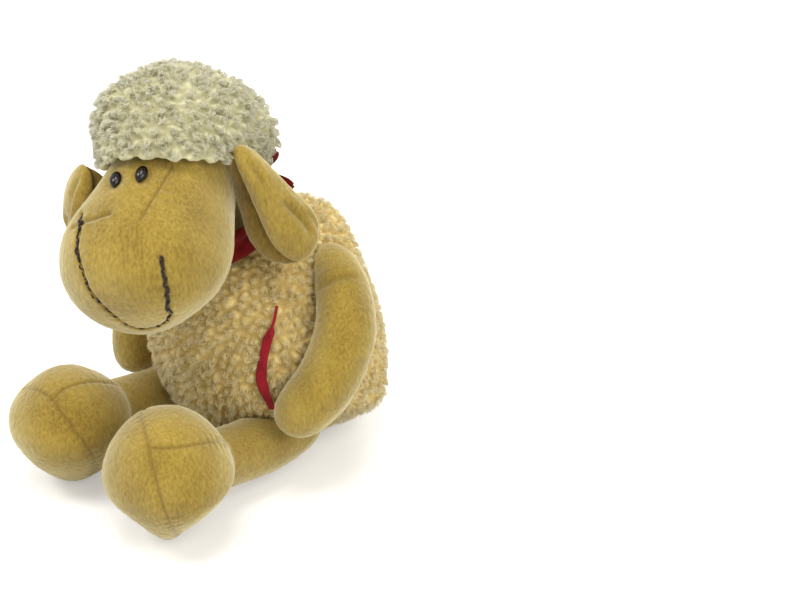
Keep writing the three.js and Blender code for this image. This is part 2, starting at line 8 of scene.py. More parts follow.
import bpy
import numpy as np
from mathutils import Matrix, Vector
from mathutils.bvhtree import BVHTree
from mathutils.kdtree import KDTree


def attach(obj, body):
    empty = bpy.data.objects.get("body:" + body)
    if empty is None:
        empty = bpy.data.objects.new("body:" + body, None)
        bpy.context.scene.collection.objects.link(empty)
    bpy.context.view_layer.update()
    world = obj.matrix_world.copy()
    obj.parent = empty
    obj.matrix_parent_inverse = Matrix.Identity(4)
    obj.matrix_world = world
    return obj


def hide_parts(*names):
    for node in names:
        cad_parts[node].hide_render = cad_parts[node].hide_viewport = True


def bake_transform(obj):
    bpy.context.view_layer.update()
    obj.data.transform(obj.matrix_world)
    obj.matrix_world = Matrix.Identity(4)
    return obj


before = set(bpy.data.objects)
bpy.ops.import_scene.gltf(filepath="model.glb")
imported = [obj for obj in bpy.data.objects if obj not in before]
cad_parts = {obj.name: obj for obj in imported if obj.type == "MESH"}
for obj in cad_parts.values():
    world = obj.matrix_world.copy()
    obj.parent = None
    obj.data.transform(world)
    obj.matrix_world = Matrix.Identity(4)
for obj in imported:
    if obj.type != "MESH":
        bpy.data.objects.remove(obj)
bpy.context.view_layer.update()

# Lengths are in millimetres unless they stand in a value for a lamp, the camera or the floor.
# The sheep looks along -y, and its left is +x.
MM = 0.001
UP = np.array([0.0, 0.0, 1.0])
FORWARD = np.array([0.0, -1.0, 0.0])
FIT = 0.3
TURNING_FIT = 0.6
LEFT, RIGHT = 1, -1
LABELS = {LEFT: "left", RIGHT: "right"}


# Camera, light and floor, in metres
CAMERA_PLACE, CAMERA_TURN = (0.44664, -0.43132, 0.41322), (60.80, 0, 39.65)
CAMERA_LENS, SENSOR_WIDTH = 63, 36
LIGHT_AIM = Vector((0, -0.03, 0.09))
# Each area light: its place, its size, its power in watts and its colour
AREA_LIGHTS = {
    "key": ((-0.36, -0.58, 0.92), 0.32, 4.2, (1.0, 1.0, 0.97)),
    "top": ((0.12, -0.22, 1.20), 0.50, 5.4, (1.0, 1.0, 0.98)),
    "front": ((0.10, -1.00, 0.28), 0.50, 0.7, (1.0, 0.99, 0.95)),
    "side": ((0.80, -0.15, 0.70), 0.60, 5.0, (1.0, 0.99, 0.95)),
    "back": ((-0.30, 0.75, 0.70), 0.60, 4.0, (1.0, 0.98, 0.95)),
}
WHITE, AMBIENT_COLOUR, AMBIENT_STRENGTH = (1, 1, 1, 1), (1.0, 0.985, 0.93, 1), 0.45
FLOOR_REACH, FLOOR_COLOUR, FLOOR_GLOW = 4.0, (0.82, 0.82, 0.82, 1), 0.34


def srgb(code):
    """A colour such as "c9b477" as linear RGBA."""
    parts = [int(code[i:i + 2], 16) / 255 for i in (0, 2, 4)]
    return tuple(c / 12.92 if c <= 0.04045 else ((c + 0.055) / 1.055) ** 2.4 for c in parts) + (1.0,)


def placed(name, data):
    """A new object with this data, in the scene."""
    obj = bpy.data.objects.new(name, data)
    bpy.context.scene.collection.objects.link(obj)
    return obj


def add_camera():
    data = bpy.data.cameras.new("camera")
    data.lens, data.sensor_width = CAMERA_LENS, SENSOR_WIDTH
    camera = placed("camera", data)
    camera.location = CAMERA_PLACE
    camera.rotation_euler = [math.radians(angle) for angle in CAMERA_TURN]
    bpy.context.scene.camera = camera


def add_area_light(name, location, size, energy, colour):
    data = bpy.data.lights.new(name, "AREA")
    data.shape, data.size, data.energy, data.color = "SQUARE", size, energy, colour
    light = placed(name, data)
    light.location = location
    light.rotation_euler = (LIGHT_AIM - Vector(location)).to_track_quat("-Z", "Y").to_euler()


def seen_directly(nodes, links):
    """A value of 1 for what the camera, a reflection or glass sees, and 0 for light."""
    path = nodes.new("ShaderNodeLightPath")
    seen = path.outputs["Is Camera Ray"]
    for ray in ("Is Glossy Ray", "Is Transmission Ray"):
        either = nodes.new("ShaderNodeMath")
        either.operation = "MAXIMUM"
        links.new(seen, either.inputs[0])
        links.new(path.outputs[ray], either.inputs[1])
        seen = either.outputs[0]
    return seen


def add_world():
    world = bpy.data.worlds.new("studio")
    bpy.context.scene.world = world
    world.use_nodes = True
    nodes, links = world.node_tree.nodes, world.node_tree.links
    nodes.clear()
    mix = nodes.new("ShaderNodeMixShader")
    links.new(seen_directly(nodes, links), mix.inputs[0])
    for socket, colour, strength in ((1, AMBIENT_COLOUR, AMBIENT_STRENGTH), (2, WHITE, 1.0)):
        background = nodes.new("ShaderNodeBackground")
        background.inputs["Color"].default_value = colour
        background.inputs["Strength"].default_value = strength
        links.new(background.outputs[0], mix.inputs[socket])
    output = nodes.new("ShaderNodeOutputWorld")
    links.new(mix.outputs[0], output.inputs[0])


def add_floor():
    mesh = bpy.data.meshes.new("floor")
    reach = FLOOR_REACH
    mesh.from_pydata([(-reach, -reach, 0), (reach, -reach, 0), (reach, reach, 0), (-reach, reach, 0)],
                     [], [(0, 1, 2, 3)])
    floor = placed("floor", mesh)
    material = bpy.data.materials.new("floor_white")
    material.use_nodes = True
    nodes, links = material.node_tree.nodes, material.node_tree.links
    nodes.clear()
    matt = nodes.new("ShaderNodeBsdfDiffuse")
    matt.inputs["Color"].default_value = FLOOR_COLOUR
    level = nodes.new("ShaderNodeMath")
    level.operation = "MULTIPLY"
    level.inputs[1].default_value = FLOOR_GLOW
    glow = nodes.new("ShaderNodeEmission")
    glow.inputs["Color"].default_value = WHITE
    both = nodes.new("ShaderNodeAddShader")
    output = nodes.new("ShaderNodeOutputMaterial")
    links.new(seen_directly(nodes, links), level.inputs[0])
    links.new(level.outputs[0], glow.inputs["Strength"])
    links.new(matt.outputs[0], both.inputs[0])
    links.new(glow.outputs[0], both.inputs[1])
    links.new(both.outputs[0], output.inputs[0])
    mesh.materials.append(material)


bpy.context.scene.view_settings.view_transform = "Standard"
add_camera()
add_world()
add_floor()
for name, values in AREA_LIGHTS.items():
    add_area_light(name, *values)


# Numbers
def unit(v):
    v = np.asarray(v, float)
    return v / np.maximum(np.linalg.norm(v, axis=-1, keepdims=True), 1e-12)


def smooth(x):
    x = np.clip(x, 0, 1)
    return x * x * (3 - 2 * x)


# Large odd numbers that scatter a cell's place and the seed, and their bits
CELL_HASH, SEED_HASH = (73856093, 19349663, 83492791), 2654435761
BIT_HASH = ((15, 2246822519), (13, 3266489917))
CORNERS = [np.array([x, y, z]) for x in (0, 1) for y in (0, 1) for z in (0, 1)]


def lattice_noise(points, seed):
    """Value noise from -1 to 1 with features one unit wide."""
    cell = np.floor(points).astype(np.int64)
    share = smooth(points - cell)
    total = np.zeros(len(points))
    for corner in CORNERS:
        x, y, z = ((cell + corner) * CELL_HASH).T
        k = (x ^ y ^ z ^ (seed * SEED_HASH)) & 0xFFFFFFFF
        for shift, factor in BIT_HASH:
            k = ((k ^ (k >> shift)) * factor) & 0xFFFFFFFF
        value = (k ^ (k >> 16)) / 0x7FFFFFFF - 1
        total += value * np.where(corner, share, 1 - share).prod(axis=1)
    return total


def layered_noise(points, size, seed):
    """Noise of this size in mm, with a second layer half as wide and half as strong."""
    return lattice_noise(points * (1 / size), seed) + 0.5 * lattice_noise(points * (2 / size), seed + 1)


def noise_vectors(points, size, seed):
    return np.stack([layered_noise(points, size, seed + k) for k in range(3)], axis=1)


CURVE_STEPS = 60


def curve_through(points, per_span=CURVE_STEPS):
    """Dense points of the centripetal Catmull-Rom curve that the CAD uses."""
    p = np.asarray(points, float)
    p = np.vstack([2 * p[0] - p[1], p, 2 * p[-1] - p[-2]])
    dense = []
    for i in range(1, len(p) - 2):
        p0, p1, p2, p3 = p[i - 1:i + 3]
        d = [max(np.linalg.norm(b - a) ** 0.5, 1e-4) for a, b in ((p0, p1), (p1, p2), (p2, p3))]
        t1 = ((p1 - p0) / d[0] - (p2 - p0) / (d[0] + d[1]) + (p2 - p1) / d[1]) * d[1]
        t2 = ((p2 - p1) / d[1] - (p3 - p1) / (d[1] + d[2]) + (p3 - p2) / d[2]) * d[1]
        t = np.linspace(0, 1, per_span, endpoint=i == len(p) - 3)[:, None]
        dense.append(p1 + t1 * t + (3 * (p2 - p1) - 2 * t1 - t2) * t ** 2
                     + (2 * (p1 - p2) + t1 + t2) * t ** 3)
    return np.vstack(dense)


class Spine:
    """Points and directions by share of the length, straight on past the ends."""

    def __init__(self, points):
        self.dense = curve_through(points)
        steps = np.linalg.norm(np.diff(self.dense, axis=0), axis=1)
        self.marks = np.concatenate([[0], np.cumsum(steps)])
        self.length = self.marks[-1]

    def at(self, share):
        inside = np.clip(share, 0, 1)
        point = self._point(inside)
        tangent = self.tangent(share)
        return point + tangent * ((np.asarray(share) - inside) * self.length)[..., None]

    def tangent(self, share):
        inside = np.clip(share, 0, 1)
        step = 0.004
        return unit(self._point(np.minimum(inside + step, 1)) - self._point(np.maximum(inside - step, 0)))

    def _point(self, share):
        where = np.asarray(share) * self.length
        return np.stack([np.interp(where, self.marks, self.dense[:, k]) for k in range(3)], axis=-1)


def run_through(shares, x):
    """The smooth run through evenly spaced shares at x from 0 to 1."""
    v = np.concatenate([[shares[0]], shares, [shares[-1]]])
    place = np.clip(x, 0, 1) * (len(shares) - 1)
    i = np.minimum(place.astype(int), len(shares) - 2)
    t = place - i
    p0, p1, p2, p3 = v[i], v[i + 1], v[i + 2], v[i + 3]
    v0, v1 = (p2 - p0) / 2, (p3 - p1) / 2
    return (2 * p1 - 2 * p2 + v0 + v1) * t ** 3 + (-3 * p1 + 3 * p2 - 2 * v0 - v1) * t ** 2 + v0 * t + p1


def rotation(axis, degrees):
    return np.array(Matrix.Rotation(math.radians(degrees), 3, Vector(axis)))


def turned(points, pivot, axis, degrees):
    return (points - pivot) @ rotation(axis, degrees).T + pivot


def along_line(points, line):
    """Each point's distance to a polyline, and the length along it there."""
    best = np.full(len(points), 1e9)
    where = np.zeros(len(points))
    start = 0.0
    for a, b in zip(line[:-1], line[1:]):
        run = b - a
        size = np.linalg.norm(run)
        share = np.clip(((points - a) @ run) / max(size * size, 1e-12), 0, 1)
        distance = np.linalg.norm(points - a - share[:, None] * run, axis=1)
        nearer = distance < best
        best[nearer] = distance[nearer]
        where[nearer] = start + share[nearer] * size
        start += size
    return best, where


# Meshes
def outwards(points, groups):
    """Faces looking out of a closed form, whichever way round they were made."""
    volume = 0.0
    for g in groups:
        a = points[g[:, 0]]
        for k in range(1, g.shape[1] - 1):
            volume += np.einsum("ij,ij->", a, np.cross(points[g[:, k]], points[g[:, k + 1]]))
    return groups if volume >= 0 else [g[:, ::-1] for g in groups]


def new_object(name, points, faces):
    """An object from points in mm and an array, or a list of arrays, of faces with equal corners."""
    groups = outwards(np.asarray(points), faces if isinstance(faces, list) else [faces])
    corners = np.concatenate([g.ravel() for g in groups]).astype(np.int32)
    sizes = np.concatenate([np.full(len(g), g.shape[1]) for g in groups])
    starts = np.concatenate([[0], np.cumsum(sizes)[:-1]]).astype(np.int32)
    mesh = bpy.data.meshes.new(name)
    mesh.vertices.add(len(points))
    mesh.vertices.foreach_set("co", (np.asarray(points) * MM).astype(np.float32).ravel())
    mesh.loops.add(len(corners))
    mesh.polygons.add(len(sizes))
    mesh.polygons.foreach_set("loop_start", starts)
    mesh.polygons.foreach_set("vertices", corners)
    mesh.polygons.foreach_set("use_smooth", np.ones(len(sizes), bool))
    mesh.update(calc_edges=True)
    mesh.validate()
    return placed(name, mesh)


def points_of(obj):
    co = np.zeros(len(obj.data.vertices) * 3)
    obj.data.vertices.foreach_get("co", co)
    return co.reshape(-1, 3) / MM


def set_points(obj, points):
    obj.data.vertices.foreach_set("co", (points * MM).astype(np.float32).ravel())
    obj.data.update()


def normals_of(obj):
    n = np.zeros(len(obj.data.vertices) * 3)
    obj.data.vertex_normals.foreach_get("vector", n)
    return n.reshape(-1, 3)


def triangles_of(obj):
    obj.data.calc_loop_triangles()
    corners = np.zeros(len(obj.data.loop_triangles) * 3, np.int32)
    obj.data.loop_triangles.foreach_get("vertices", corners)
    return corners.reshape(-1, 3)


def set_attribute(obj, name, values):
    attribute = obj.data.attributes.get(name) or obj.data.attributes.new(name, "FLOAT", "POINT")
    attribute.data.foreach_set("value", np.asarray(values, np.float32))


def tree_of(points, faces):
    groups = faces if isinstance(faces, list) else [faces]
    polygons = [tuple(int(i) for i in face) for g in groups for face in g]
    return BVHTree.FromPolygons([tuple(p) for p in points], polygons)


def hit(tree, start, direction):
    """The point where a ray from inside a closed form leaves it, and the way out there."""
    direction = unit(direction)
    for slip in (0, 1e-3, 2e-3, 4e-3):  # a ray can pass exactly between two faces
        way = direction + slip * np.array([0.6, 0.5, 0.7])
        point, normal, _, _ = tree.ray_cast(Vector(start), Vector(way))
        if point is not None:
            break
    normal = np.array(normal)
    return np.array(point), normal if normal @ direction > 0 else -normal


def outside(tree, points):
    """How far each point lies outside a closed form; inside it is negative."""
    result = np.empty(len(points))
    for i, p in enumerate(points):
        near, normal, _, distance = tree.find_nearest(Vector(p))
        result[i] = distance if (Vector(p) - near).dot(normal) > 0 else -distance
    return result


def laid_on(tree, points):
    """The places on a surface nearest to the points."""
    return np.array([tree.find_nearest(Vector(p))[0] for p in points])


def tube_faces(count, sides):
    """Quads between rings of points, and the fans that close them on the first and the last point."""
    at = 1 + np.arange(count * sides).reshape(count, sides)
    after = np.roll(at, -1, axis=1)
    quads = np.stack([at[:-1], after[:-1], after[1:], at[1:]], axis=-1).reshape(-1, 4)
    first, last = np.zeros(sides, int), np.full(sides, count * sides + 1)
    fans = np.stack([first, after[0], at[0]], axis=-1), np.stack([last, at[-1], after[-1]], axis=-1)
    return quads, np.vstack(fans)


def loft(rings, first, last):
    """Points and faces of rings (count, sides, 3) drawn together to a point at each end."""
    count, sides, _ = rings.shape
    return np.vstack([first, rings.reshape(-1, 3), last]), list(tube_faces(count, sides))


def along_form(form, rings, inset=0.0):
    """The rings of a stuffed form, which swells and tapers along its spine and rounds off at both ends."""
    spine = Spine(form["spine"])
    trim = inset / spine.length
    share = (1 - np.cos(np.pi * np.arange(1, rings) / rings)) / 2
    fullness = form["fullness"]
    rounding = (1 - np.abs(2 * share - 1) ** fullness) ** (1 / fullness)
    along = trim + share * (1 - 2 * trim)
    centre, tangent = spine.at(along), spine.tangent(along)
    across = unit(np.cross(form["up"], tangent))

    def half(size):
        shares = form.get(f"{size}_shares", form.get("swell"))
        return ((form[f"half_{size}"] * run_through(shares, share) - inset) * rounding)[:, None]

    return SimpleNamespace(
        share=share, rounding=rounding[:, None], half_width=half("width"), half_height=half("height"),
        centre=centre[:, None], across=across[:, None], upright=np.cross(tangent, across)[:, None],
        ends=spine.at(np.array([trim, 1 - trim])),
    )


def stuffed(form, inset=0.0, rings=40, sides=56):
    """The CAD's stuffed form as points and faces."""
    run = along_form(form, rings, inset)
    angle = 2 * np.pi * np.arange(sides) / sides
    x, y = np.cos(angle), np.sin(angle)
    height = y * run.half_height
    points = run.centre + run.across * (x * run.half_width)[..., None] + run.upright * height[..., None]
    return loft(points, *run.ends)


def evaluated(obj, name):
    """A new object with the mesh that obj's modifiers give; obj is removed."""
    graph = bpy.context.evaluated_depsgraph_get()
    mesh = bpy.data.meshes.new_from_object(obj.evaluated_get(graph))
    bpy.data.objects.remove(obj)
    mesh.name = name
    return placed(name, mesh)


def joined(parts):
    """Points and faces of several meshes as one."""
    points, faces, start = [], [], 0
    for p, groups in parts:
        points.append(p)
        faces += [g + start for g in groups]
        start += len(p)
    return np.vstack(points), faces


def even_mesh(name, parts, voxel, cutters=(), follow=True):
    """One even closed skin round the parts, less the cutters, with its points on their surface."""
    source = new_object(name, *joined(parts))
    removed = []
    for i, (points, faces) in enumerate(cutters):
        cutter = new_object(f"{name}_cutter_{i}", points, faces)
        removed.append(cutter)
        cut = source.modifiers.new(f"cut_{i}", "BOOLEAN")
        cut.operation, cut.solver, cut.object = "DIFFERENCE", "EXACT", cutter
    remesh = source.modifiers.new("even", "REMESH")
    remesh.mode, remesh.voxel_size, remesh.use_smooth_shade = "VOXEL", voxel * MM, True
    made = evaluated(source, name)
    for cutter in removed:
        bpy.data.objects.remove(cutter)
    if follow:
        follow_forms(made, parts, voxel)
    return made


def follow_forms(obj, parts, voxel):
    """Points that the remesh left a little off the forms go back onto them."""
    points = points_of(obj)
    trees = [tree_of(*part) for part in parts]
    for i, p in enumerate(points):
        found = [tree.find_nearest(Vector(p), voxel * 0.45) for tree in trees]
        found = [f for f in found if f[0] is not None]
        if len(found) == 1:
            points[i] = found[0][0]
    set_points(obj, points)


def refined(obj, levels):
    name = obj.name
    obj.name = f"{name}_coarse"
    subdivision = obj.modifiers.new("fine", "SUBSURF")
    subdivision.levels = subdivision.render_levels = levels
    made = evaluated(obj, name)
    made.data.polygons.foreach_set("use_smooth", np.full(len(made.data.polygons), True))
    return made


# Cloth: each stuffed skin is blown up a little between its seams
SWELL_FRAMES, START_INSET, PRESSURE, CLOTH_MASS = 20, 0.5, 4, 0.15
STRETCH_STIFFNESS, SHEAR_STIFFNESS, BENDING_STIFFNESS = 12, 8, 0.6
SEAM_HOLD, SEAM_FADE, LEAST_HOLD = 1.6, 4, 0.02


def stuff_with_cloth(obj, seams):
    """Sets up the simulation of one skin, which its seams hold."""
    points = points_of(obj)
    held = np.zeros(len(points))
    for line in seams:
        distance, _ = along_line(points, line)
        held = np.maximum(held, smooth(SEAM_HOLD - distance / SEAM_FADE))
    group = obj.vertex_groups.new(name="seams")
    for i in np.flatnonzero(held > LEAST_HOLD):
        group.add([int(i)], float(held[i]), "REPLACE")
    set_points(obj, points - normals_of(obj) * START_INSET)
    settings = obj.modifiers.new("stuffing", "CLOTH").settings
    settings.quality, settings.mass = 5, CLOTH_MASS
    settings.tension_stiffness = settings.compression_stiffness = STRETCH_STIFFNESS
    settings.shear_stiffness, settings.bending_stiffness = SHEAR_STIFFNESS, BENDING_STIFFNESS
    settings.use_pressure, settings.uniform_pressure_force = True, PRESSURE
    settings.effector_weights.gravity = 0
    settings.vertex_group_mass = "seams"
    settings.pin_stiffness = 1
    return points


def swell(skins):
    """Simulates the skins together. Each is (object, seams, most that a point may move in mm)."""
    starts = [stuff_with_cloth(obj, seams) for obj, seams, _ in skins]
    scene = bpy.context.scene
    for step in range(1, SWELL_FRAMES + 1):
        scene.frame_set(step)
    graph = bpy.context.evaluated_depsgraph_get()
    for (obj, _, most), start in zip(skins, starts):
        co = np.zeros(len(start) * 3)
        obj.evaluated_get(graph).data.vertices.foreach_get("co", co)
        moved = co.reshape(-1, 3) / MM - start
        size = np.linalg.norm(moved, axis=1, keepdims=True)
        moved *= np.minimum(1, most / np.maximum(size, 1e-9))
        obj.modifiers.clear()
        obj.vertex_groups.clear()
        set_points(obj, start + moved)
    scene.frame_set(1)


# Sewing and creases on a fine skin, with shade painted into them; its pile stands up this unevenly
PILE = 0.14


def worked(obj, seed, seams=(), creases=(), dents=(), wander=0.5):
    """Moves a fine skin's points along its normals, and paints shade into its seams, puckers and creases.

    A seam is (line, depth, width, pucker, wavelength); a crease is (line, depth, width) and fades
    out at its ends; a dent is (point, depth, radius).
    """
    points, normals = points_of(obj), normals_of(obj)
    skin = tree_of(points, triangles_of(obj))
    move = wander * layered_noise(points, 22, seed)
    shade = np.zeros(len(points))
    for line, depth, width, pucker, wavelength in seams:
        distance, where = along_line(points, laid_on(skin, line))
        groove = np.exp(-(distance / width) ** 2)
        phase = 2 * np.pi * where / wavelength + 1.6 * layered_noise(points, 9, seed + 5)
        reach = wavelength * 0.75
        gathers = np.cos(phase) * np.exp(-((distance - width) / reach) ** 2) * (1 - groove)
        move += pucker * gathers - depth * groove
        # Painted shade: darker in the seam's groove and in the hollows between its puckers
        shade = np.maximum(shade, groove + 0.35 * np.maximum(-gathers, 0) * min(1, pucker / 0.3))
    for line, depth, width in creases:
        distance, where = along_line(points, laid_on(skin, line))
        length = np.linalg.norm(np.diff(line, axis=0), axis=1).sum()
        ends = smooth(where / (0.3 * length)) * smooth((length - where) / (0.3 * length))
        fold = np.exp(-(distance / width) ** 2) * ends
        rise = np.exp(-((distance - 2.2 * width) / (1.3 * width)) ** 2) * ends
        move += 0.35 * depth * rise - depth * fold
        # Painted shade along the crease's fold
        shade = np.maximum(shade, 0.7 * fold)
    for place, depth, radius in dents:
        distance = np.linalg.norm(points - place, axis=1)
        move -= depth * np.exp(-(distance / radius) ** 2)
    move += PILE * lattice_noise(points / 1.7, seed + 9)
    move += 0.6 * PILE * lattice_noise(points / 0.9, seed + 10)
    set_points(obj, points + normals * move[:, None])
    set_attribute(obj, "shade", np.clip(shade, 0, 1))


# Materials
MIX_SHARE, MIX_A, MIX_B, MIX_RESULT = 0, 6, 7, 2  # a Mix node's sockets for colours


class Look:
    """A node material in the making, with its shader's constant values."""

    def __init__(self, name, **values):
        self.material = bpy.data.materials.new(name)
        self.material.use_nodes = True
        self.tree = self.material.node_tree
        self.shader = self.tree.nodes["Principled BSDF"]
        self.place = self.node("TexCoord", {}).outputs["Object"]
        for key, value in values.items():
            self.shader.inputs[key.replace("_", " ")].default_value = value

    def node(self, kind, inputs, **settings):
        """A new node with its settings. Its inputs are numbers, colours or the sockets to link."""
        node = self.tree.nodes.new(f"ShaderNode{kind}")
        for key, value in settings.items():
            setattr(node, key, value)
        for key, value in inputs.items():
            if isinstance(value, (int, float, tuple)):
                node.inputs[key].default_value = value
            else:
                self.tree.links.new(value, node.inputs[key])
        return node

    def noise(self, size_mm, detail, roughness, stretch=None):
        place = self.place
        if stretch:
            place = self.node("Mapping", {"Vector": place, "Scale": stretch}).outputs["Vector"]
        return self.node("TexNoise", {
            "Vector": place, "Scale": 1 / (size_mm * MM), "Detail": detail, "Roughness": roughness,
        }).outputs["Fac"]

    def waves(self, size_mm, direction, distortion):
        return self.node("TexWave", {
            "Vector": self.place, "Scale": 0.5 / (size_mm * MM), "Distortion": distortion,
        }, bands_direction=direction).outputs["Fac"]

    def attribute(self, name):
        return self.node("Attribute", {}, attribute_name=name).outputs["Fac"]

    def math(self, operation, a, b):
        return self.node("Math", {0: a, 1: b}, operation=operation).outputs[0]

    def total(self, a, share_a, b, share_b):
        return self.math("ADD", self.math("MULTIPLY", a, share_a), self.math("MULTIPLY", b, share_b))

    def mix(self, share, a, b):
        node = self.node("Mix", {MIX_SHARE: share, MIX_A: a, MIX_B: b}, data_type="RGBA")
        return node.outputs[MIX_RESULT]

    def ramp(self, source, *stops):
        """A colour ramp; its stops are (position, colour)."""
        node = self.node("ValToRGB", {"Fac": source})
        elements = node.color_ramp.elements
        while len(elements) < len(stops):
            elements.new(0.5)
        for element, (position, colour) in zip(elements, stops):
            element.position, element.color = position, srgb(colour)
        return node.outputs["Color"]

    def finished(self, colour, relief, depth_mm, strength):
        """The material, with its colour and the fine relief of its surface."""
        self.tree.links.new(colour, self.shader.inputs["Base Color"])
        bump = self.node("Bump", {"Height": relief, "Distance": depth_mm * MM, "Strength": strength})
        self.tree.links.new(bump.outputs["Normal"], self.shader.inputs["Normal"])
        return self.material


# The dark brown of the painted shade in seams, puckers and creases
PAINTED_SEAM_SHADE = "6b5219"


def velour_look(name, deep, middle, lit):
    """Short pile: brushed patches, fine flecks, painted shade in the seams and creases, a soft light rim."""
    look = Look(name, Roughness=0.95, Sheen_Weight=1.0, Sheen_Roughness=0.5, Sheen_Tint=srgb("fbf4d2"),
                Specular_IOR_Level=0.12)
    tone = look.total(look.noise(20, 1.0, 0.4), 0.4, look.noise(1.2, 2.0, 0.6, stretch=(1, 1, 0.4)), 0.6)
    body = look.ramp(tone, (0.30, deep), (0.50, middle), (0.70, lit))
    # Painted shade: the colour darkens towards the seam brown by the skin's shade attribute
    with_painted_shade = look.mix(look.math("MULTIPLY", look.attribute("shade"), 0.62), body, srgb(PAINTED_SEAM_SHADE))
    pile = look.total(look.noise(1.1, 3.0, 0.7, stretch=(1, 1, 0.5)), 0.7, look.noise(0.45, 1.0, 0.5), 0.3)
    return look.finished(with_painted_shade, pile, 0.55, 0.55)


def wool_look(name, root, middle, tip):
    """Fleece locks: painted shade where they part, painted light at their tips, each of its own tone."""
    look = Look(name, Roughness=0.95, Sheen_Weight=0.15, Sheen_Roughness=0.5, Sheen_Tint=srgb("fff8e4"),
                Specular_IOR_Level=0.1, Subsurface_Weight=0.4, Subsurface_Radius=(1.0, 0.9, 0.6),
                Subsurface_Scale=2.2 * MM)
    patches = look.math("MULTIPLY", look.math("SUBTRACT", look.noise(14, 2.0, 0.5), 0.5), 0.35)
    tone = look.math("ADD", look.attribute("rise"), patches)
    tone = look.math("ADD", tone, look.math("MULTIPLY", look.attribute("tone"), 0.16))
    # The ramp runs from painted shade at the roots and clefts to painted light at the tips
    colour = look.ramp(tone, (0.0, root), (0.42, middle), (0.85, tip))
    return look.finished(colour, look.noise(0.7, 3.0, 0.7), 0.5, 0.5)


def cloth_look(name, deep, lit):
    """Plain woven cotton, its tone varying a little at random."""
    look = Look(name, Roughness=0.85, Sheen_Weight=0.15, Sheen_Roughness=0.4, Specular_IOR_Level=0.2)
    colour = look.ramp(look.noise(5, 3.0, 0.6), (0.3, deep), (0.7, lit))
    weave = look.math("ADD", look.waves(0.62, "X", 0.4), look.waves(0.62, "Z", 0.4))
    return look.finished(colour, weave, 0.18, 0.6)


def gloss_look(name, deep, lit):
    """Moulded glossy plastic with a faint swirl under its surface."""
    look = Look(name, Roughness=0.06, Specular_IOR_Level=0.32)
    colour = look.ramp(look.noise(2.2, 2.0, 0.5), (0.35, deep), (0.7, lit))
    return look.finished(colour, look.noise(3.0, 1.0, 0.4), 0.02, 0.3)


def yarn_look(name, deep, lit):
    look = Look(name, Roughness=0.7, Sheen_Weight=0.1, Specular_IOR_Level=0.3)
    colour = look.ramp(look.noise(0.9, 3.0, 0.6), (0.35, deep), (0.65, lit))
    return look.finished(colour, look.noise(0.35, 2.0, 0.6), 0.15, 0.7)


LOOKS = {
    "velour": velour_look("velour", "7a601f", "967d30", "ae9442"),
    # The lining is a darker copy of the velour: partly its own colour, partly painted shade in the ear's
    # fold
    "lining": velour_look("ear_lining", "614814", "7b6220", "8d732c"),
    "fleece_cap": wool_look("fleece_cap", "aba682", "b9b490", "dedabd"),
    # The body's fleece is the cap's fleece made warmer and more yellow: painted shade under the head
    "fleece_body_painted_shade": wool_look("fleece_body_painted_shade", "bda360", "d3ba7a", "f8e8ae"),
    # The neckerchief's red is darker than the tape's: painted shade between the head and the body
    "cloth": cloth_look("red_cotton_painted_shade", "5c0809", "840d10"),
    "tape": cloth_look("red_tape", "801420", "aa1e2c"),
    "eye": gloss_look("eye_plastic", "0d0704", "1c0e06"),
    "washer": gloss_look("washer_plastic", "d8d8d4", "efefec"),
    "thread": yarn_look("dark_thread", "140c08", "2b1c12"),
}


def wear(obj, *looks):
    obj.data.materials.clear()
    for look in looks:
        obj.data.materials.append(LOOKS[look])


# Forms
BODY_WIDTH, BODY_DEPTH, BODY_HEIGHT, SEAT_CUT, HUMP = 117, 109, 125, 3, 5
BODY_TOP = BODY_HEIGHT - SEAT_CUT
BODY_MIDDLE = np.array([0, 0, BODY_HEIGHT / 2 - SEAT_CUT])
BODY = {
    "spine": [[0, -HUMP / 2, -SEAT_CUT], BODY_MIDDLE, [0, HUMP, BODY_TOP]],
    "half_width": BODY_WIDTH / 2, "half_height": BODY_DEPTH / 2, "up": FORWARD,
    "swell": [0.9, 1.03, 1.0, 0.9, 0.8], "fullness": 2.15,
}

HEAD_TURN = rotation(UP, 28) @ rotation((0, 1, 0), -14)
SKULL = np.array([-8.0, -36.0, BODY_TOP + 35.5])
SKULL_RADIUS = 36.5
NOSE = np.array([-11.0, 50.0, -31.0])
NOSE_DEPTH = 28


def from_skull(side, ahead, above):
    return HEAD_TURN @ np.array([side, -ahead, above], float) + SKULL


HEAD_LEFT, HEAD_AHEAD, HEAD_UP = HEAD_TURN[:, 0], -HEAD_TURN[:, 1], HEAD_TURN[:, 2]
NOSE_REACH = np.linalg.norm(NOSE)
NOSE_MIDDLE = from_skull(*NOSE)


def along_head(distance):
    return from_skull(*(NOSE * distance / NOSE_REACH))


def from_nose(side, ahead, above):
    return from_skull(*(NOSE + [side, ahead, above]))


HEAD = {
    "spine": [along_head(-SKULL_RADIUS), along_head(NOSE_REACH / 2), along_head(NOSE_REACH + NOSE_DEPTH)],
    "half_width": SKULL_RADIUS, "half_height": SKULL_RADIUS, "up": HEAD_UP,
    "width_shares": [1.0, 1.0, 0.98, 1.04, 1.13, 1.13],
    "height_shares": [1.0, 1.0, 0.97, 1.0, 1.06, 1.08], "fullness": 2.9,
}
NECK_AXIS = unit(SKULL - BODY_MIDDLE)


# The level way along which the soft parts lean, to the sheep's left and back
LEAN_WAY = np.array([0.77, 0.638, 0.0])
# Where the skin is pressed in: a place, a radius, a direction and a depth, all in the head's frame
HEAD_PRESSES = [
    ((28, 4, -25), 26, (-0.78, 0, 0.62), 10),
    ((10, 54, -60), 24, (-0.3, -0.2, 0.93), 3.5),
    ((-36, 24, 12), 24, (0.95, 0, -0.3), 10),
]


def share_near(points, place, radius):
    """A soft share round a place, from 1 there to nothing."""
    return np.exp(-(np.linalg.norm(points - place, axis=1) / radius) ** 2)[:, None]


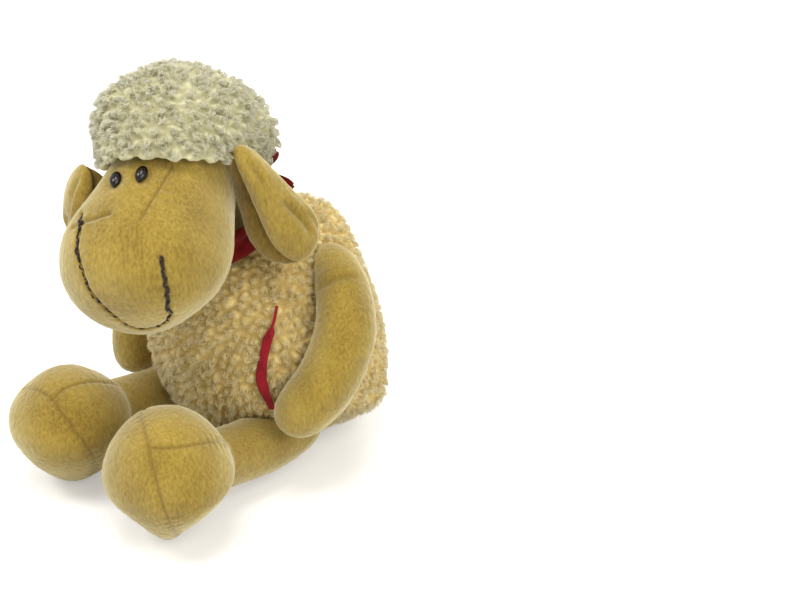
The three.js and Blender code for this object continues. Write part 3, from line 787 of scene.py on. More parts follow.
def head_shape(points):
    """The stuffing sits a little to the sheep's right: the muzzle leans over, the jaw is pressed in."""
    local = (points - SKULL) @ HEAD_TURN * [1, -1, 1]
    side, ahead, above = local.T
    front = smooth((ahead + 5) / 35)
    lean = 3.0 * front * (1 - 0.6 * smooth(side / 20)) + 1.2 * front * smooth((-above - 35) / 25)
    shaped = points - LEAN_WAY * lean[:, None]
    for place, radius, (x, y, z), depth in HEAD_PRESSES:
        shaped += HEAD_TURN @ np.array([x, -y, z]) * (depth * share_near(local, place, radius))
    return shaped


def pushed(points, pushes):
    """Moves the points round each place: (place, radius, move), in millimetres at rest."""
    result = points.copy()
    for place, radius, move in pushes:
        result += np.array(move) * share_near(points, place, radius)
    return result


EAR_ROOT = {LEFT: [35, 24, 8], RIGHT: [-40, 20, 9]}
EAR_HANG = {LEFT: [14, -5, -59], RIGHT: [-16, -2, -46]}
EAR_WIDTH, EAR_THICKNESS, EAR_CUP = 32, 9, 4
EAR_WIDTHS = {LEFT: [0.50, 0.56, 0.72, 0.96, 1.02], RIGHT: [0.74, 0.80, 0.86, 0.96, 1.02]}
EAR_FACE, EAR_BOW = {LEFT: 60, RIGHT: 62}, {LEFT: 0, RIGHT: 4}


def ear_form(side):
    place, hang = np.array(EAR_ROOT[side], float), np.array(EAR_HANG[side], float)
    root, end = from_skull(*place), from_skull(*(place + hang))
    outward = HEAD_LEFT * side
    bow = (root + end) / 2 + outward * EAR_BOW[side]
    angle = math.radians(EAR_FACE[side])
    face = outward * math.cos(angle) + HEAD_AHEAD * math.sin(angle)
    return {
        "spine": [root, bow, end], "half_width": EAR_WIDTH / 2, "half_height": EAR_THICKNESS / 2,
        "up": face, "cup": -EAR_CUP, "width_shares": EAR_WIDTHS[side],
        "height_shares": [0.8, 1.0, 1.05, 1.05, 1.0], "fullness": 2.4,
    }


def inner_way(side):
    """The ear's edge towards the head, square to its face."""
    angle = math.radians(EAR_FACE[side])
    return -HEAD_LEFT * side * math.sin(angle) + HEAD_AHEAD * math.cos(angle)


# Half of an ear's section, by shares of its half width and half thickness. It starts at the outer
# edge, runs over the outer flap to its free edge, into the fold, and back over the lining.
EAR_SECTION = [
    (1.0, 0.0), (0.92, 0.62), (0.55, 1.0), (0.05, 1.12), (-0.30, 1.06), (-0.52, 0.86), (-0.62, 0.55),
    (-0.55, 0.24), (-0.28, 0.10), (0.02, 0.02), (-0.35, -0.14), (-0.80, -0.16), (-1.08, -0.22),
    (-1.18, -0.50), (-1.05, -0.82), (-0.6, -1.0), (0.0, -1.05), (0.5, -0.98), (0.88, -0.62),
]
EAR_RINGS, EAR_SIDES = 72, 96


def folded_ear(side):
    """An ear folded along its length: two flaps that part towards the head."""
    form = ear_form(side)
    run = along_form(form, EAR_RINGS)
    flip = -np.sign(np.einsum("ij,j->i", run.across[:, 0], inner_way(side)))
    ring = Spine([(x, y, 0) for x, y in EAR_SECTION[-1:] + EAR_SECTION + EAR_SECTION[:2]])
    first, last = ring.marks[CURVE_STEPS], ring.marks[CURVE_STEPS * (len(EAR_SECTION) + 1)]
    x, y, _ = ring.at((first + (last - first) * np.arange(EAR_SIDES) / EAR_SIDES) / ring.length).T
    parting = 0.35 * np.sin(np.pi * np.clip(run.share * 1.15, 0, 1))[:, None]
    opening = 1 + parting * (np.abs(y) > 0.05) * (x < 0)
    height = y * run.half_height * opening + form["cup"] * x * x * run.rounding
    rings = (run.centre + run.across * flip[:, None, None] * (x * run.half_width)[..., None]
             + run.upright * height[..., None])
    return loft(rings, *run.ends)


SEAM_STEPS = 8


def on_ear(side, tree, places):
    """A line on the ear's outer face through (share of its length, share of its half width)."""
    form = ear_form(side)
    spine = Spine(form["spine"])
    inner = inner_way(side) * form["half_width"]
    starts = [spine.at(np.array(s)) - inner * x + form["up"] * 15 for s, x in places]
    return curve_through([hit(tree, start, -form["up"])[0] for start in starts], SEAM_STEPS)


def beside_body(place, side):
    out, ahead, above = place
    return np.array([side * (BODY_WIDTH / 2 + out), -ahead, BODY_TOP + above])


def before_body(place, side):
    sideways, ahead, above = place
    return np.array([side * sideways, -BODY_DEPTH / 2 - ahead, above])


SHOULDER = [-12.5, -3, -25]
ARM_SPINE = {
    LEFT: [[-32.5, -8, -22], [-12.5, -3, -23], [5.5, 9, -38], [10.5, 25, -62], [-0.5, 41, -85]],
    RIGHT: [[-32.5, -8, -23], [-13.5, -3, -27], [3.5, 8, -47], [9.5, 21, -74], [8.5, 35, -107]],
}
ARM_SWING = (-22, 12)


def arm_form(side):
    return {
        "spine": [beside_body(place, side) for place in ARM_SPINE[side]],
        "half_width": 15.5, "half_height": 15.5, "up": FORWARD,
        "swell": [0.86, 0.9, 0.97, 1.06, 1.14], "fullness": 2.9,
    }


HIP = [42, -24.5, 19]
LEG_SPINE = [[35, -50.5, 18], [37, -24.5, 19], [37, 3.5, 23], [36, 35.5, 31]]
LEG_SWELL = {LEFT: [1.08, 1.12, 1.12, 1.2], RIGHT: [0.9, 0.92, 0.98, 1.15]}
LEG_SPLAY = (-4, 12)
HEEL, TOE = [36, 48.5, -0.5], [36, 43.5, 62]
FOOT_WIDTH, FOOT_DEPTH = 61, 58


def leg_form(side):
    return {
        "spine": [before_body(place, side) for place in LEG_SPINE],
        "half_width": 13.5, "half_height": 13.5, "up": UP, "swell": LEG_SWELL[side], "fullness": 4,
    }


def foot_form(side):
    heel, toe = before_body(HEEL, side), before_body(TOE, side)
    return {
        "spine": [heel, (heel + toe) / 2, toe],
        "half_width": FOOT_WIDTH / 2, "half_height": FOOT_DEPTH / 2, "up": FORWARD,
        "swell": [0.6, 0.8, 0.97, 1.04, 1.0, 0.94], "fullness": 2.15,
    }


def foot_middle(side):
    return (before_body(HEEL, side) + before_body(TOE, side)) / 2


# The seams of a foot, as places from its middle: down the sole, and back over the instep
SOLE_SEAM = {
    LEFT: [[-24, 8, 33], [-16, 1, 34], [-12.5, -2.7, 32.8], [-1.2, -10.2, 33.2], [6.8, -15.4, 29.4],
           [12.3, -18.5, 24.1], [17.0, -20.7, 16.9], [21.1, -21.5, 7.0], [21.6, -19.0, -4.7],
           [19, -14, -18], [13, -6, -30]],
    RIGHT: [[-16, -11, 18], [-8.5, -12.8, 22.7], [1.4, -13.1, 24.7], [8.7, -13.2, 23.4],
            [16.7, -13.7, 19.2], [23.9, -13.4, 13.2], [28.7, -11.4, 5.3], [28.8, -8.5, -3.1],
            [24.5, -4.4, -13.1], [15, 0, -26]],
}
INSTEP_SEAM = {
    LEFT: [[6.8, -15.4, 29.4], [12.1, -12.0, 29.5], [16.3, -7.1, 29.2], [20.0, 2.3, 27.4],
           [19.7, 13.1, 23.0], [16, 22, 17]],
    RIGHT: [[8.7, -13.2, 23.4], [8.8, -6.4, 26.1], [10.2, -0.4, 26.5], [11.6, 7.2, 25.0],
            [12.6, 15.0, 21.0], [9.6, 24.6, 13.4]],
}


def foot_shape(points, side):
    """Each foot as it is stuffed: the left one taller and narrow below, the right one lower."""
    across, above = (points - foot_middle(side)) @ LEAN_WAY, points[:, 2]
    if side == LEFT:
        rise = 3.8 * smooth((above - 35) / 25)
        lean = -0.40 * (across + 3) * smooth((34 - above) / 26)
    else:
        rise = -3.2 * smooth((above - 28) / 30)
        inner = 3.0 * smooth((20 - above) / 26) * smooth((across + 20) / 30)
        lean = 2.0 * smooth((-across - 2) / 20) + inner
    return points + UP * rise[:, None] + LEAN_WAY * lean[:, None]


# Stuffed skins
VOXEL = 3.0
# Room between the limbs and the body for the puffs of the fleece
FLEECE_ROOM = {"arm": 1.6, "leg": 0.3}
plain_head = stuffed(HEAD, rings=90, sides=120)
plain_head_tree = tree_of(*plain_head)
head_source = (head_shape(plain_head[0]), plain_head[1])
head_tree = tree_of(*head_source)
body_tree = tree_of(*stuffed(BODY, rings=70, sides=96))


def on_head(places):
    """A line on the head's skin through places in the skull's frame, moved out from its middle."""
    line = []
    for place in places:
        middle = along_head(NOSE_REACH * np.clip(place[1] / 60, 0, 1))
        line.append(hit(head_tree, middle, from_skull(*place) - middle)[0])
    return curve_through(line, SEAM_STEPS)


def from_nose_on_head(place):
    """The place on the head's skin, and the way out there, on a ray from the nose's middle."""
    return hit(head_tree, NOSE_MIDDLE, from_nose(*place) - NOSE_MIDDLE)


# Seams of the head, from the cap to each side of the nose, and the mouth's sizes
SEAM_LEFT = on_head([[13.0, 42.0, 13.0], [11.5, 45.9, 10.1], [7.5, 56.5, 5.0], [2.7, 67.5, -1.1]])
SEAM_RIGHT = on_head([[-11.1, 65.2, 1.7], [-19.0, 64.5, -1.5], [-29.9, 61.7, -4.8]])
MOUTH_HALF_TOP, MOUTH_HALF, MOUTH_SIDE, MOUTH_TOP, MOUTH_BEND, MOUTH_BOTTOM = 19, 14, 2.5, 15, -10, -23
MOUTH_FORWARD, MOUTH_UNDER, THREAD, FAR_SIDE_SHIFT = 26, 21, 1.3, 2.7
# Above the CAD's thread the right end runs on up the cheek as a seam: places from the nose's middle
MOUTH_UPPER = [[-18.8, 7.9, 31], [-16.8, 15.8, 26.5], [-17.6, 20.5, 21.0]]


def mouth_line():
    """The mouth's deep U on the head: down one side, round under the nose and up the other side."""
    share = np.arange(3) / 3
    across = MOUTH_HALF_TOP + (MOUTH_HALF - MOUTH_HALF_TOP) * share
    above = MOUTH_TOP + (MOUTH_BEND - MOUTH_TOP) * share
    down = [[-a, MOUTH_FORWARD, u] for a, u in zip(across, above)]
    up = [[-a, forward, u] for a, forward, u in down[::-1]]
    under = [[MOUTH_HALF * math.cos(a), MOUTH_FORWARD + (MOUTH_UNDER - MOUTH_FORWARD) * math.sin(a),
              MOUTH_BEND - (MOUTH_BEND - MOUTH_BOTTOM) * math.sin(a)] for a in np.linspace(np.pi, 0, 9)]
    line = []
    for a, forward, u in MOUTH_UPPER + [[MOUTH_SIDE + a, f, u] for a, f, u in down + under + up]:
        shift = FAR_SIDE_SHIFT * float(smooth((-a - 4) / 10))
        line.append(from_nose_on_head((a + shift, forward, u))[0])
    return curve_through(line, 10)


MOUTH = mouth_line()
EYE_WIDTH, EYE_LENGTH, EYE_BULGE, EYE_BACK, EYE_STEM = 5.4, 8.4, 2.2, 1.6, 1.2
EYE_POLAR, EYE_RINGS, EYE_SIDES = (4, 128), 22, 48
EYE_PLACE = {LEFT: [11.5, -0.6, 42.7], RIGHT: [0.1, 1.35, 42.8]}
eye_seats = {side: from_nose_on_head(place) for side, place in EYE_PLACE.items()}


def swept(limb, pivot, axis, travel, steps):
    """The body, with room for its fleece, turned back through the travel of a limb."""
    points, faces = stuffed(BODY, -(TURNING_FIT + FLEECE_ROOM[limb]), 30, 48)
    return [(turned(points, pivot, axis, -angle), faces) for angle in np.linspace(*travel, steps)]


def arm_skin(side, label):
    """An arm, cut where the body turns past it, and the seam on its inner side."""
    form = arm_form(side)
    points, faces = stuffed(form, rings=36, sides=44)
    if side == LEFT:  # this forearm is fuller and lies nearer the lap
        lower = smooth((85 - points[:, 2]) / 35)
        fuller = smooth((-18 - points[:, 1]) / 12)
        points = points + (FORWARD * (2.5 * fuller)[:, None] - LEAN_WAY * 3.4) * lower[:, None]
    pivot = beside_body(SHOULDER, side)
    cutters = swept("arm", pivot, -side * unit(pivot - BODY_MIDDLE), ARM_SWING, 4)
    skin = even_mesh(f"arm_{label}_velour", [(points, faces)], VOXEL, cutters)
    tree, spine, shares = tree_of(points, faces), Spine(form["spine"]), np.linspace(0.3, 0.985, 26)
    centres, tangents = spine.at(shares), spine.tangent(shares)
    inner = unit(np.cross(tangents, np.cross(np.array([-side, 0.5, 0.0]), tangents)))
    return skin, [np.array([hit(tree, c, i)[0] for c, i in zip(centres, inner)])]


# A box under the floor that trims the feet level
UNDER_FLOOR = (
    np.array([[x, y, z] for z in (-40, 0) for y in (-200, 40) for x in (-150, 150)], float),
    [np.array([[0, 2, 3, 1], [4, 5, 7, 6], [0, 1, 5, 4], [2, 6, 7, 3], [0, 4, 6, 2], [1, 3, 7, 5]])],
)


def leg_skin(side, label):
    """A leg and its foot in one skin, cut where the body turns past it, and the foot's two seams."""
    leg, foot = stuffed(leg_form(side), rings=30, sides=40), stuffed(foot_form(side), rings=44, sides=64)
    foot = (foot_shape(foot[0], side), foot[1])
    cutters = swept("leg", before_body(HIP, side), UP * side, LEG_SPLAY, 3) + [UNDER_FLOOR]
    skin = even_mesh(f"leg_{label}_velour", [leg, foot], VOXEL, cutters)
    tree, middle = tree_of(*foot), foot_middle(side)
    lines = ([hit(tree, middle, np.array(place, float))[0] for place in places]
             for places in (SOLE_SEAM[side], INSTEP_SEAM[side]))
    return skin, [curve_through(line, SEAM_STEPS) for line in lines]


head_skin = even_mesh("head_velour", [head_source], VOXEL)
arm_skins, leg_skins, ear_skins, arm_seams, leg_seams = {}, {}, {}, {}, {}
skins = [(head_skin, [SEAM_LEFT, SEAM_RIGHT, MOUTH], 1.6)]
for side, label in LABELS.items():
    arm_skins[side], arm_seams[side] = arm_skin(side, label)
    leg_skins[side], leg_seams[side] = leg_skin(side, label)
    skins += [(arm_skins[side], arm_seams[side], 1.6), (leg_skins[side], leg_seams[side], 1.4)]
swell(skins)
head_skin = refined(head_skin, 2)
for side in LABELS:
    arm_skins[side] = refined(arm_skins[side], 2)
    leg_skins[side] = refined(leg_skins[side], 2)

# Head: shallow gathers run over the nose between its seams, each (sideways, lower by, depth)
NOSE_GATHERS = [(2.2, 0.6, 0.22), (0.4, -1.2, 0.34), (-0.9, 1.4, 0.26), (-3.4, 0.0, 0.34), (-5.2, 1.8, 0.20)]


def over_nose(side, lower):
    """A gather's line over the nose."""
    start, end = [side, 69.5 + lower, -6.5 - lower], [side - 1.0, 75.0 + lower, -19.0 - lower]
    return on_head([start, [side - 0.5, 73.0, -13.0], end])


worked(
    head_skin,
    seams=[(SEAM_LEFT, 1.0, 0.65, 0.22, 5), (SEAM_RIGHT, 1.3, 1.2, 0.22, 6), (MOUTH, 1.3, 0.9, 0.16, 4.5)],
    creases=[(over_nose(side, lower), depth, 0.55) for side, lower, depth in NOSE_GATHERS],
    dents=[(place, 1.0, 4.2) for place, _ in eye_seats.values()],
    seed=3,
)
wear(head_skin, "velour")
head_skin_tree = tree_of(points_of(head_skin), triangles_of(head_skin))


def round_arm(side, tree, share, first, last):
    """A line over an arm, at a share of its length, from one angle to another in degrees."""
    spine = Spine(arm_form(side)["spine"])
    centre, tangent = spine.at(np.array(share)), spine.tangent(np.array(share))
    front = unit(np.cross(tangent, np.cross(FORWARD, tangent)))
    outer = unit(np.cross(tangent, np.cross(np.array([side, 0, 0.3]), tangent)))
    return np.array([hit(tree, centre, front * math.cos(a) + outer * math.sin(a))[0]
                     for a in np.radians(np.linspace(first, last, 14))])


# The ear's folds as (share of its length, share of its half width), with a depth and a width
EAR_FOLDS = [
    ([(0.44, 0.26), (0.58, 0.42), (0.72, 0.52), (0.88, 0.50)], 1.9, 1.7),
    ([(0.60, 0.66), (0.72, 0.76), (0.84, 0.74)], 1.0, 1.3),
    ([(0.08, 0.0), (0.16, 0.1), (0.26, 0.12), (0.34, 0.08)], 0.7, 1.6),
]
# An arm's creases as (share of its length, first angle, last angle), with a depth
ARM_CREASES = [((0.30, -20, 110), 0.6), ((0.60, 60, 170), 0.4)]
LINING_FROM, LINING_TO = 0.36, 0.93  # shares of the way round the ear's section
FLOOR_GAP = 0.15

# Arms, legs and ears
for side, label in LABELS.items():
    arm, leg = arm_skins[side], leg_skins[side]
    tree = tree_of(points_of(arm), triangles_of(arm))
    creases = [(round_arm(side, tree, *way), depth, 2.2) for way, depth in ARM_CREASES]
    worked(arm, seams=[(arm_seams[side][0], 0.9, 1.0, 0.2, 7)], creases=creases, seed=20 + side)
    wear(arm, "velour")
    sole, instep = leg_seams[side]
    worked(leg, seams=[(sole, 0.6, 0.9, 0.18, 3.4), (instep, 0.55, 1.0, 0.24, 3.8)], seed=30 + side)
    points = points_of(leg)
    points[:, 2] = np.maximum(points[:, 2], FLOOR_GAP)
    set_points(leg, points)
    wear(leg, "velour")
    ear = ear_skins[side] = new_object(f"ear_{label}_velour", *folded_ear(side))
    tree = tree_of(points_of(ear), triangles_of(ear))
    worked(ear, creases=[(on_ear(side, tree, places), depth, width) for places, depth, width in EAR_FOLDS],
           wander=0.7, seed=40 + side)
    # The lining's faces take the darker velour, with the fold's shade partly painted in
    wear(ear, "velour", "lining")
    per_ring = np.arange(len(ear.data.polygons)) % EAR_SIDES
    lining = (per_ring > EAR_SIDES * LINING_FROM) & (per_ring < EAR_SIDES * LINING_TO)
    ear.data.polygons.foreach_set("material_index", lining.astype(np.int32))


# Fleece
def scattered(points, triangles, spacing, random):
    """Places on a mesh at least the spacing apart: points, normals."""
    a, b, c = (points[triangles[:, k]] for k in range(3))
    cross = np.cross(b - a, c - a)
    area = np.linalg.norm(cross, axis=1) / 2
    count = int(area.sum() / (spacing * spacing) * 5)
    chosen = random.choice(len(area), count, p=area / area.sum())
    u, v = random.random(count), random.random(count)
    flip = u + v > 1
    u[flip], v[flip] = 1 - u[flip], 1 - v[flip]
    place = a[chosen] + (b - a)[chosen] * u[:, None] + (c - a)[chosen] * v[:, None]
    normal = unit(cross[chosen])
    taken, result = {}, []
    for i, p in enumerate(place):
        cell = tuple((p // spacing).astype(int))
        close = (taken.get((cell[0] + x, cell[1] + y, cell[2] + z), ())
                 for x in (-1, 0, 1) for y in (-1, 0, 1) for z in (-1, 0, 1))
        if all(((place[j] - p) ** 2).sum() >= spacing * spacing for group in close for j in group):
            taken.setdefault(cell, []).append(i)
            result.append(i)
    return place[result], normal[result]


def tubes(paths, radii, sides):
    """Tapered tubes along paths (n, steps, 3), with radii (n, steps), each closed at its tip."""
    n, steps, _ = paths.shape
    tangent = unit(np.gradient(paths, axis=1))
    helper = np.where(np.abs(tangent[:, :, 2:3]) < 0.9, UP, np.array([1.0, 0, 0]))
    first = unit(np.cross(helper, tangent))
    second = np.cross(tangent, first)
    angle = 2 * np.pi * np.arange(sides) / sides
    x, y = (turn[None, None, :, None] * radii[:, :, None, None] for turn in (np.cos(angle), np.sin(angle)))
    rings = paths[:, :, None] + first[:, :, None] * x + second[:, :, None] * y
    tips = paths[:, -1] + tangent[:, -1] * radii[:, -1:] * 1.2
    per = steps * sides + 2
    points = np.concatenate([paths[:, :1], rings.reshape(n, -1, 3), tips[:, None]], axis=1)
    quads, fans = tube_faces(steps, sides)
    faces = np.concatenate([quads[:, [0, 1, 2]], quads[:, [0, 2, 3]], fans])
    all_faces = (faces[None] + (np.arange(n) * per)[:, None, None]).reshape(-1, 3)
    share = np.concatenate([[0], np.repeat(np.linspace(0, 1, steps), sides), [1]])
    return points.reshape(-1, 3), all_faces, np.tile(share, n), per


# The base swells into a puff under each tuft, and a tuft's strands lean together at their tips
STRAND_STEPS = 5
STRAND_SIZES = np.array([0.13, 0.15, 0.14, 0.11, 0.05])
# Painted shade and light on the fleece: how far up its ramp the base, its puffs and the strands' roots lie
PAINTED_LIGHT_BASE, PAINTED_LIGHT_PUFF, PAINTED_LIGHT_STRAND = 0.20, 0.34, 0.55  # how light the fleece is, as shares of its ramp


def nearest_two(points, centres):
    tree = KDTree(len(centres))
    for i, c in enumerate(centres):
        tree.insert(Vector(c), i)
    tree.balance()
    found = [tree.find_n(Vector(p), 2) for p in points]
    return np.array([[f[0][2], f[1][2]] for f in found])


def puffed(obj, centres, spacing, height, seed):
    """Raises the base between the clefts that part the tufts, and paints shade into the clefts."""
    points, normals = points_of(obj), normals_of(obj)
    distance = nearest_two(points + 1.1 * noise_vectors(points, 2.6, seed), centres)
    puff = smooth((distance[:, 1] - distance[:, 0]) / (0.85 * spacing))
    clumps = layered_noise(points, 9, seed + 5)
    fine = layered_noise(points, 1.5, seed + 7)
    move = height * (puff - 0.55) + 0.45 * fine + 0.6 * clumps
    set_points(obj, points + normals * move[:, None])
    # Painted shade: the base is darker in its clefts and lighter on its puffs
    set_attribute(obj, "rise", np.clip(PAINTED_LIGHT_BASE + PAINTED_LIGHT_PUFF * puff + 0.06 * fine, 0, 1))
    set_attribute(obj, "tone", 0.6 * fine)


def softened(obj, rounds):
    """Evens out a fleece base, so that no tuft has a sharp ridge."""
    points = points_of(obj)
    ends = np.empty(len(obj.data.edges) * 2, np.int32)
    obj.data.edges.foreach_get("vertices", ends)
    a, b = ends[::2], ends[1::2]
    count = np.bincount(ends, minlength=len(points)).astype(float)[:, None]
    for _ in range(rounds):
        total = [np.bincount(a, points[b, k], len(points)) + np.bincount(b, points[a, k], len(points))
                 for k in range(3)]
        points = points + 0.6 * (np.stack(total, axis=1) / count - points)
    set_points(obj, points)


def strands(centres, normals, flow, spacing, rise, run, count, random):
    """Centre lines (n, steps, 3) of the strands of every tuft, and each one's tuft."""
    owner = np.repeat(np.arange(len(centres)), count)
    n = len(owner)
    c, out, way = centres[owner], normals[owner], flow[owner]
    side = np.cross(out, way)
    t = np.linspace(0, 1, STRAND_STEPS)[None, :, None]
    radius = spacing * 0.72 * np.sqrt(random.random((n, 1)))
    angle = random.random((n, 1)) * 2 * np.pi
    root = c + radius * (np.cos(angle) * way + np.sin(angle) * side) - out * 0.6
    per_tuft = random.random((3, len(centres)))
    tuft_rise = np.repeat(rise * (0.75 + 0.5 * per_tuft[0]), count)[:, None, None]
    tuft_run = np.repeat(run * (0.4 + 0.9 * per_tuft[1]), count)[:, None, None]
    tuft_sway = np.repeat((per_tuft[2] - 0.5) * 2.2, count)[:, None, None]
    arc, bend = np.sin(np.pi * 0.60 * t), t ** 1.5
    out, way, side = out[:, None], way[:, None], side[:, None]
    axis = c[:, None] + out * tuft_rise * arc + (way + side * tuft_sway) * tuft_run * bend
    stray = random.random((3, n, 1, 1))
    own = root[:, None] + out * tuft_rise * (0.5 + 0.5 * stray[0]) * arc + (
        way * tuft_run * (1.4 * stray[1] - 0.2) + side * (stray[2] - 0.5) * 3.4) * bend
    path = own + (axis - own) * (0.30 + 0.50 * random.random((n, 1, 1))) * t
    turns = (4.0 + 5.0 * random.random((n, 1, 1))) * np.where(random.random((n, 1, 1)) < 0.5, -1, 1)
    start = random.random((n, 1, 1)) * 2 * np.pi
    size = (0.22 + 0.35 * random.random((n, 1, 1))) * t ** 0.5
    path = path + size * (side * np.cos(start + turns * t) + way * 0.7 * np.sin(start + turns * t)
                          + out * 0.6 * np.sin(start + 1.3 * turns * t))
    return path, owner


def intruding(paths, forms):
    """Which strands go into one of the forms, given as trees."""
    bad = np.zeros(len(paths), bool)
    for tree, low, high in forms:
        for step in (2, 3, 4):
            at = paths[:, step]
            boxed = ~bad & (at > low - SKIN_CLEAR).all(axis=1) & (at < high + SKIN_CLEAR).all(axis=1)
            for i in np.flatnonzero(boxed):
                p = Vector(at[i])
                place, normal, _, distance = tree.find_nearest(p)
                bad[i] = (p - place).dot(normal) < 0 or distance < SKIN_CLEAR
    return bad


def form_of(obj):
    points = points_of(obj)
    return tree_of(points, triangles_of(obj)), points.min(axis=0), points.max(axis=0)


def add_strands(name, paths, owner, tufts, random, body, look, pieces):
    """The strands as several pieces of one fleece."""
    tone_of_tuft = random.random(tufts) - 0.5
    tone = tone_of_tuft[owner] + 0.7 * (random.random(len(owner)) - 0.5)
    middle = paths[:, 0].mean(axis=0)
    order = np.argsort(np.arctan2(paths[:, 0, 1] - middle[1], paths[:, 0, 0] - middle[0]), kind="stable")
    for number, chosen in enumerate(np.array_split(order, pieces)):
        size = STRAND_SIZES[None] * (0.75 + 0.5 * random.random((len(chosen), 1)))
        points, faces, share, per = tubes(paths[chosen], size, 3)
        obj = new_object(f"{name}_{number + 1}", points, faces)
        # Painted light: each strand lighter from its root to its tip
        set_attribute(obj, "rise", PAINTED_LIGHT_STRAND + (1 - PAINTED_LIGHT_STRAND) * share)
        set_attribute(obj, "tone", np.repeat(tone[chosen], per))
        wear(obj, look)
        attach(obj, body)


def along_surface(way, normals):
    return unit(way - normals * np.einsum("ij,ij->i", way, normals)[:, None])


# Strands keep this far from the tape, the eyes, the floor and the velour
RIBBON_CLEAR, EYE_CLEAR, FLOOR_CLEAR, SKIN_CLEAR = 2.3, 6.5, 0.35, 0.15
TAPE_WIDTH, TAPE_OFF, TAPE_TOP, TAPE_BOTTOM = 3.9, 0.5, 32, 80
TAPE_AZIMUTHS = [53, 46, 43, 47]


def ribbon_rows():
    """Where the tape lies on the fleece: its middle line, the ways out and sideways, its half widths."""
    share = np.linspace(0, 1, 90)
    azimuth = np.radians(run_through(TAPE_AZIMUTHS, share))
    line, out = [], []
    for s, a in zip(share, azimuth):
        level = BODY_TOP - (TAPE_TOP + (TAPE_BOTTOM - TAPE_TOP) * s)
        place, normal = hit(body_tree, np.array([0, 0, level]), np.array([math.sin(a), -math.cos(a), 0]))
        line.append(place + normal * (TAPE_OFF + 1.5 + 0.5 * math.sin(9 * s)))
        out.append(normal)
    sideways = np.stack([np.cos(azimuth), np.sin(azimuth), 0 * azimuth], axis=1)
    wide = 0.22 + 0.95 * smooth((share - 0.16) / 0.10) - 0.35 * smooth((share - 0.7) / 0.3)
    return np.array(line), np.array(out), sideways, TAPE_WIDTH / 2 * wide * (1 + 0.10 * np.sin(11 * share))


ribbon_line, ribbon_out, ribbon_side, ribbon_half = ribbon_rows()

BODY_PUSHES = [((20, 31, 106), 21, (2.0, 1.5, 8.0)), ((54, 16, 20), 16, (6.0, 5.0, -2.0))]


def body_fullness(points):
    """The seat bulges a little at the back on the sheep's left, and in the lap."""
    way = unit(np.array([0.8, 0.6, 0.0]))
    out = np.clip(unit(points - np.array([0, 0, 35.0])) @ way, 0, 1)
    back = way * (4.5 * smooth(out * 1.3 - 0.2) * np.exp(-((points[:, 2] - 30) / 22) ** 2))[:, None]
    lap = np.exp(-(points[:, 0] / 18) ** 2 - ((points[:, 2] - 15) / 12) ** 2) * smooth(-points[:, 1] / 20)
    return pushed(points + back + FORWARD * (6.5 * lap)[:, None], BODY_PUSHES)


# Body and its fleece: how far apart its tufts are, how high they puff, how far their strands rise and
# run, and how many strands each has; the tape's first millimetres lie under them
BODY_SPACING, BODY_PUFF, BODY_RISE, BODY_RUN, BODY_STRANDS, TAPE_HIDDEN = 3.7, 2.1, 2.9, 2.2, 18, 12
random = np.random.default_rng(11)
body_form = stuffed(BODY, rings=240, sides=340)
body_base = new_object("body_fleece", body_fullness(body_form[0]), body_form[1])
centres, normals = scattered(points_of(body_base), triangles_of(body_base), BODY_SPACING, random)
puffed(body_base, centres, BODY_SPACING, BODY_PUFF, 61)
softened(body_base, 1)
points = points_of(body_base)
points[:, 2] = np.maximum(points[:, 2], 0.0)
set_points(body_base, points)
wear(body_base, "fleece_body_painted_shade")
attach(body_base, "torso")
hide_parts("body_skin", "body_filling", "pellet_bag")

flow = along_surface(0.9 * noise_vectors(centres, 13, 71) - UP, normals)
paths, owner = strands(centres, normals, flow, BODY_SPACING, BODY_RISE, BODY_RUN, BODY_STRANDS, random)
distance, where = along_line(paths[:, 4], ribbon_line)
covered = (distance < RIBBON_CLEAR) & (where > TAPE_HIDDEN)
limbs = [form_of(head_skin)] + [form_of(o) for side in LABELS for o in (arm_skins[side], leg_skins[side])]
kept = ~covered & (paths[:, :, 2].min(axis=1) > FLOOR_CLEAR) & ~intruding(paths, limbs)
add_strands("body_wool", paths[kept], owner[kept], len(centres), random, "torso", "fleece_body_painted_shade", 8)

# Cap: an even skin inside its CAD solid, then its strands, sized as the body's are
CAP_SPACING, CAP_PUFF, CAP_RISE, CAP_RUN, CAP_STRANDS = 3.8, 2.0, 3.2, 2.0, 24
CAP_TILT, CAP_NOD, CAP_VOXEL = -11, -4, 0.9
CAP_PUSHES = [
    ((-31, -61, 182), 19, (-4.0, -3.3, 0)), ((12, -3, 158), 17, (3.2, 2.6, 0)),
    ((-5, -18, 196), 15, (-0.5, -0.5, -3.5)), ((-16, -83, 165), 15, (3.0, 2.4, -5.0)),
]
random = np.random.default_rng(12)
cap_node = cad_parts["wool_cap"]
cap_part = (points_of(cap_node), [triangles_of(cap_node)])
cap_base = even_mesh("cap_fleece", [cap_part], CAP_VOXEL, follow=False)
points = points_of(cap_base)
near = laid_on(plain_head_tree, points)
along, above = (points - SKULL) @ HEAD_LEFT, (points - SKULL) @ HEAD_UP
thin = smooth((-along - 8) / 26) * smooth((12 - above) / 22)
full = smooth((along - 8) / 22) * smooth((30 - above) / 25)
lifted = near + (points - near) * (0.58 - 0.42 * thin + 0.16 * full)[:, None]
lifted = turned(turned(lifted, SKULL, HEAD_AHEAD, CAP_TILT), SKULL, HEAD_LEFT, CAP_NOD)
set_points(cap_base, pushed(head_shape(lifted), CAP_PUSHES))
roots, normals = scattered(points_of(cap_base), triangles_of(cap_base), CAP_SPACING, random)
facing = np.einsum("ij,ij->i", normals, unit(roots - SKULL))
kept = (outside(head_tree, roots) > 1.0) & (facing > 0.0)
roots, normals = roots[kept], normals[kept]
puffed(cap_base, roots, CAP_SPACING, CAP_PUFF, 62)
softened(cap_base, 2)
wear(cap_base, "fleece_cap")
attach(cap_base, "head")
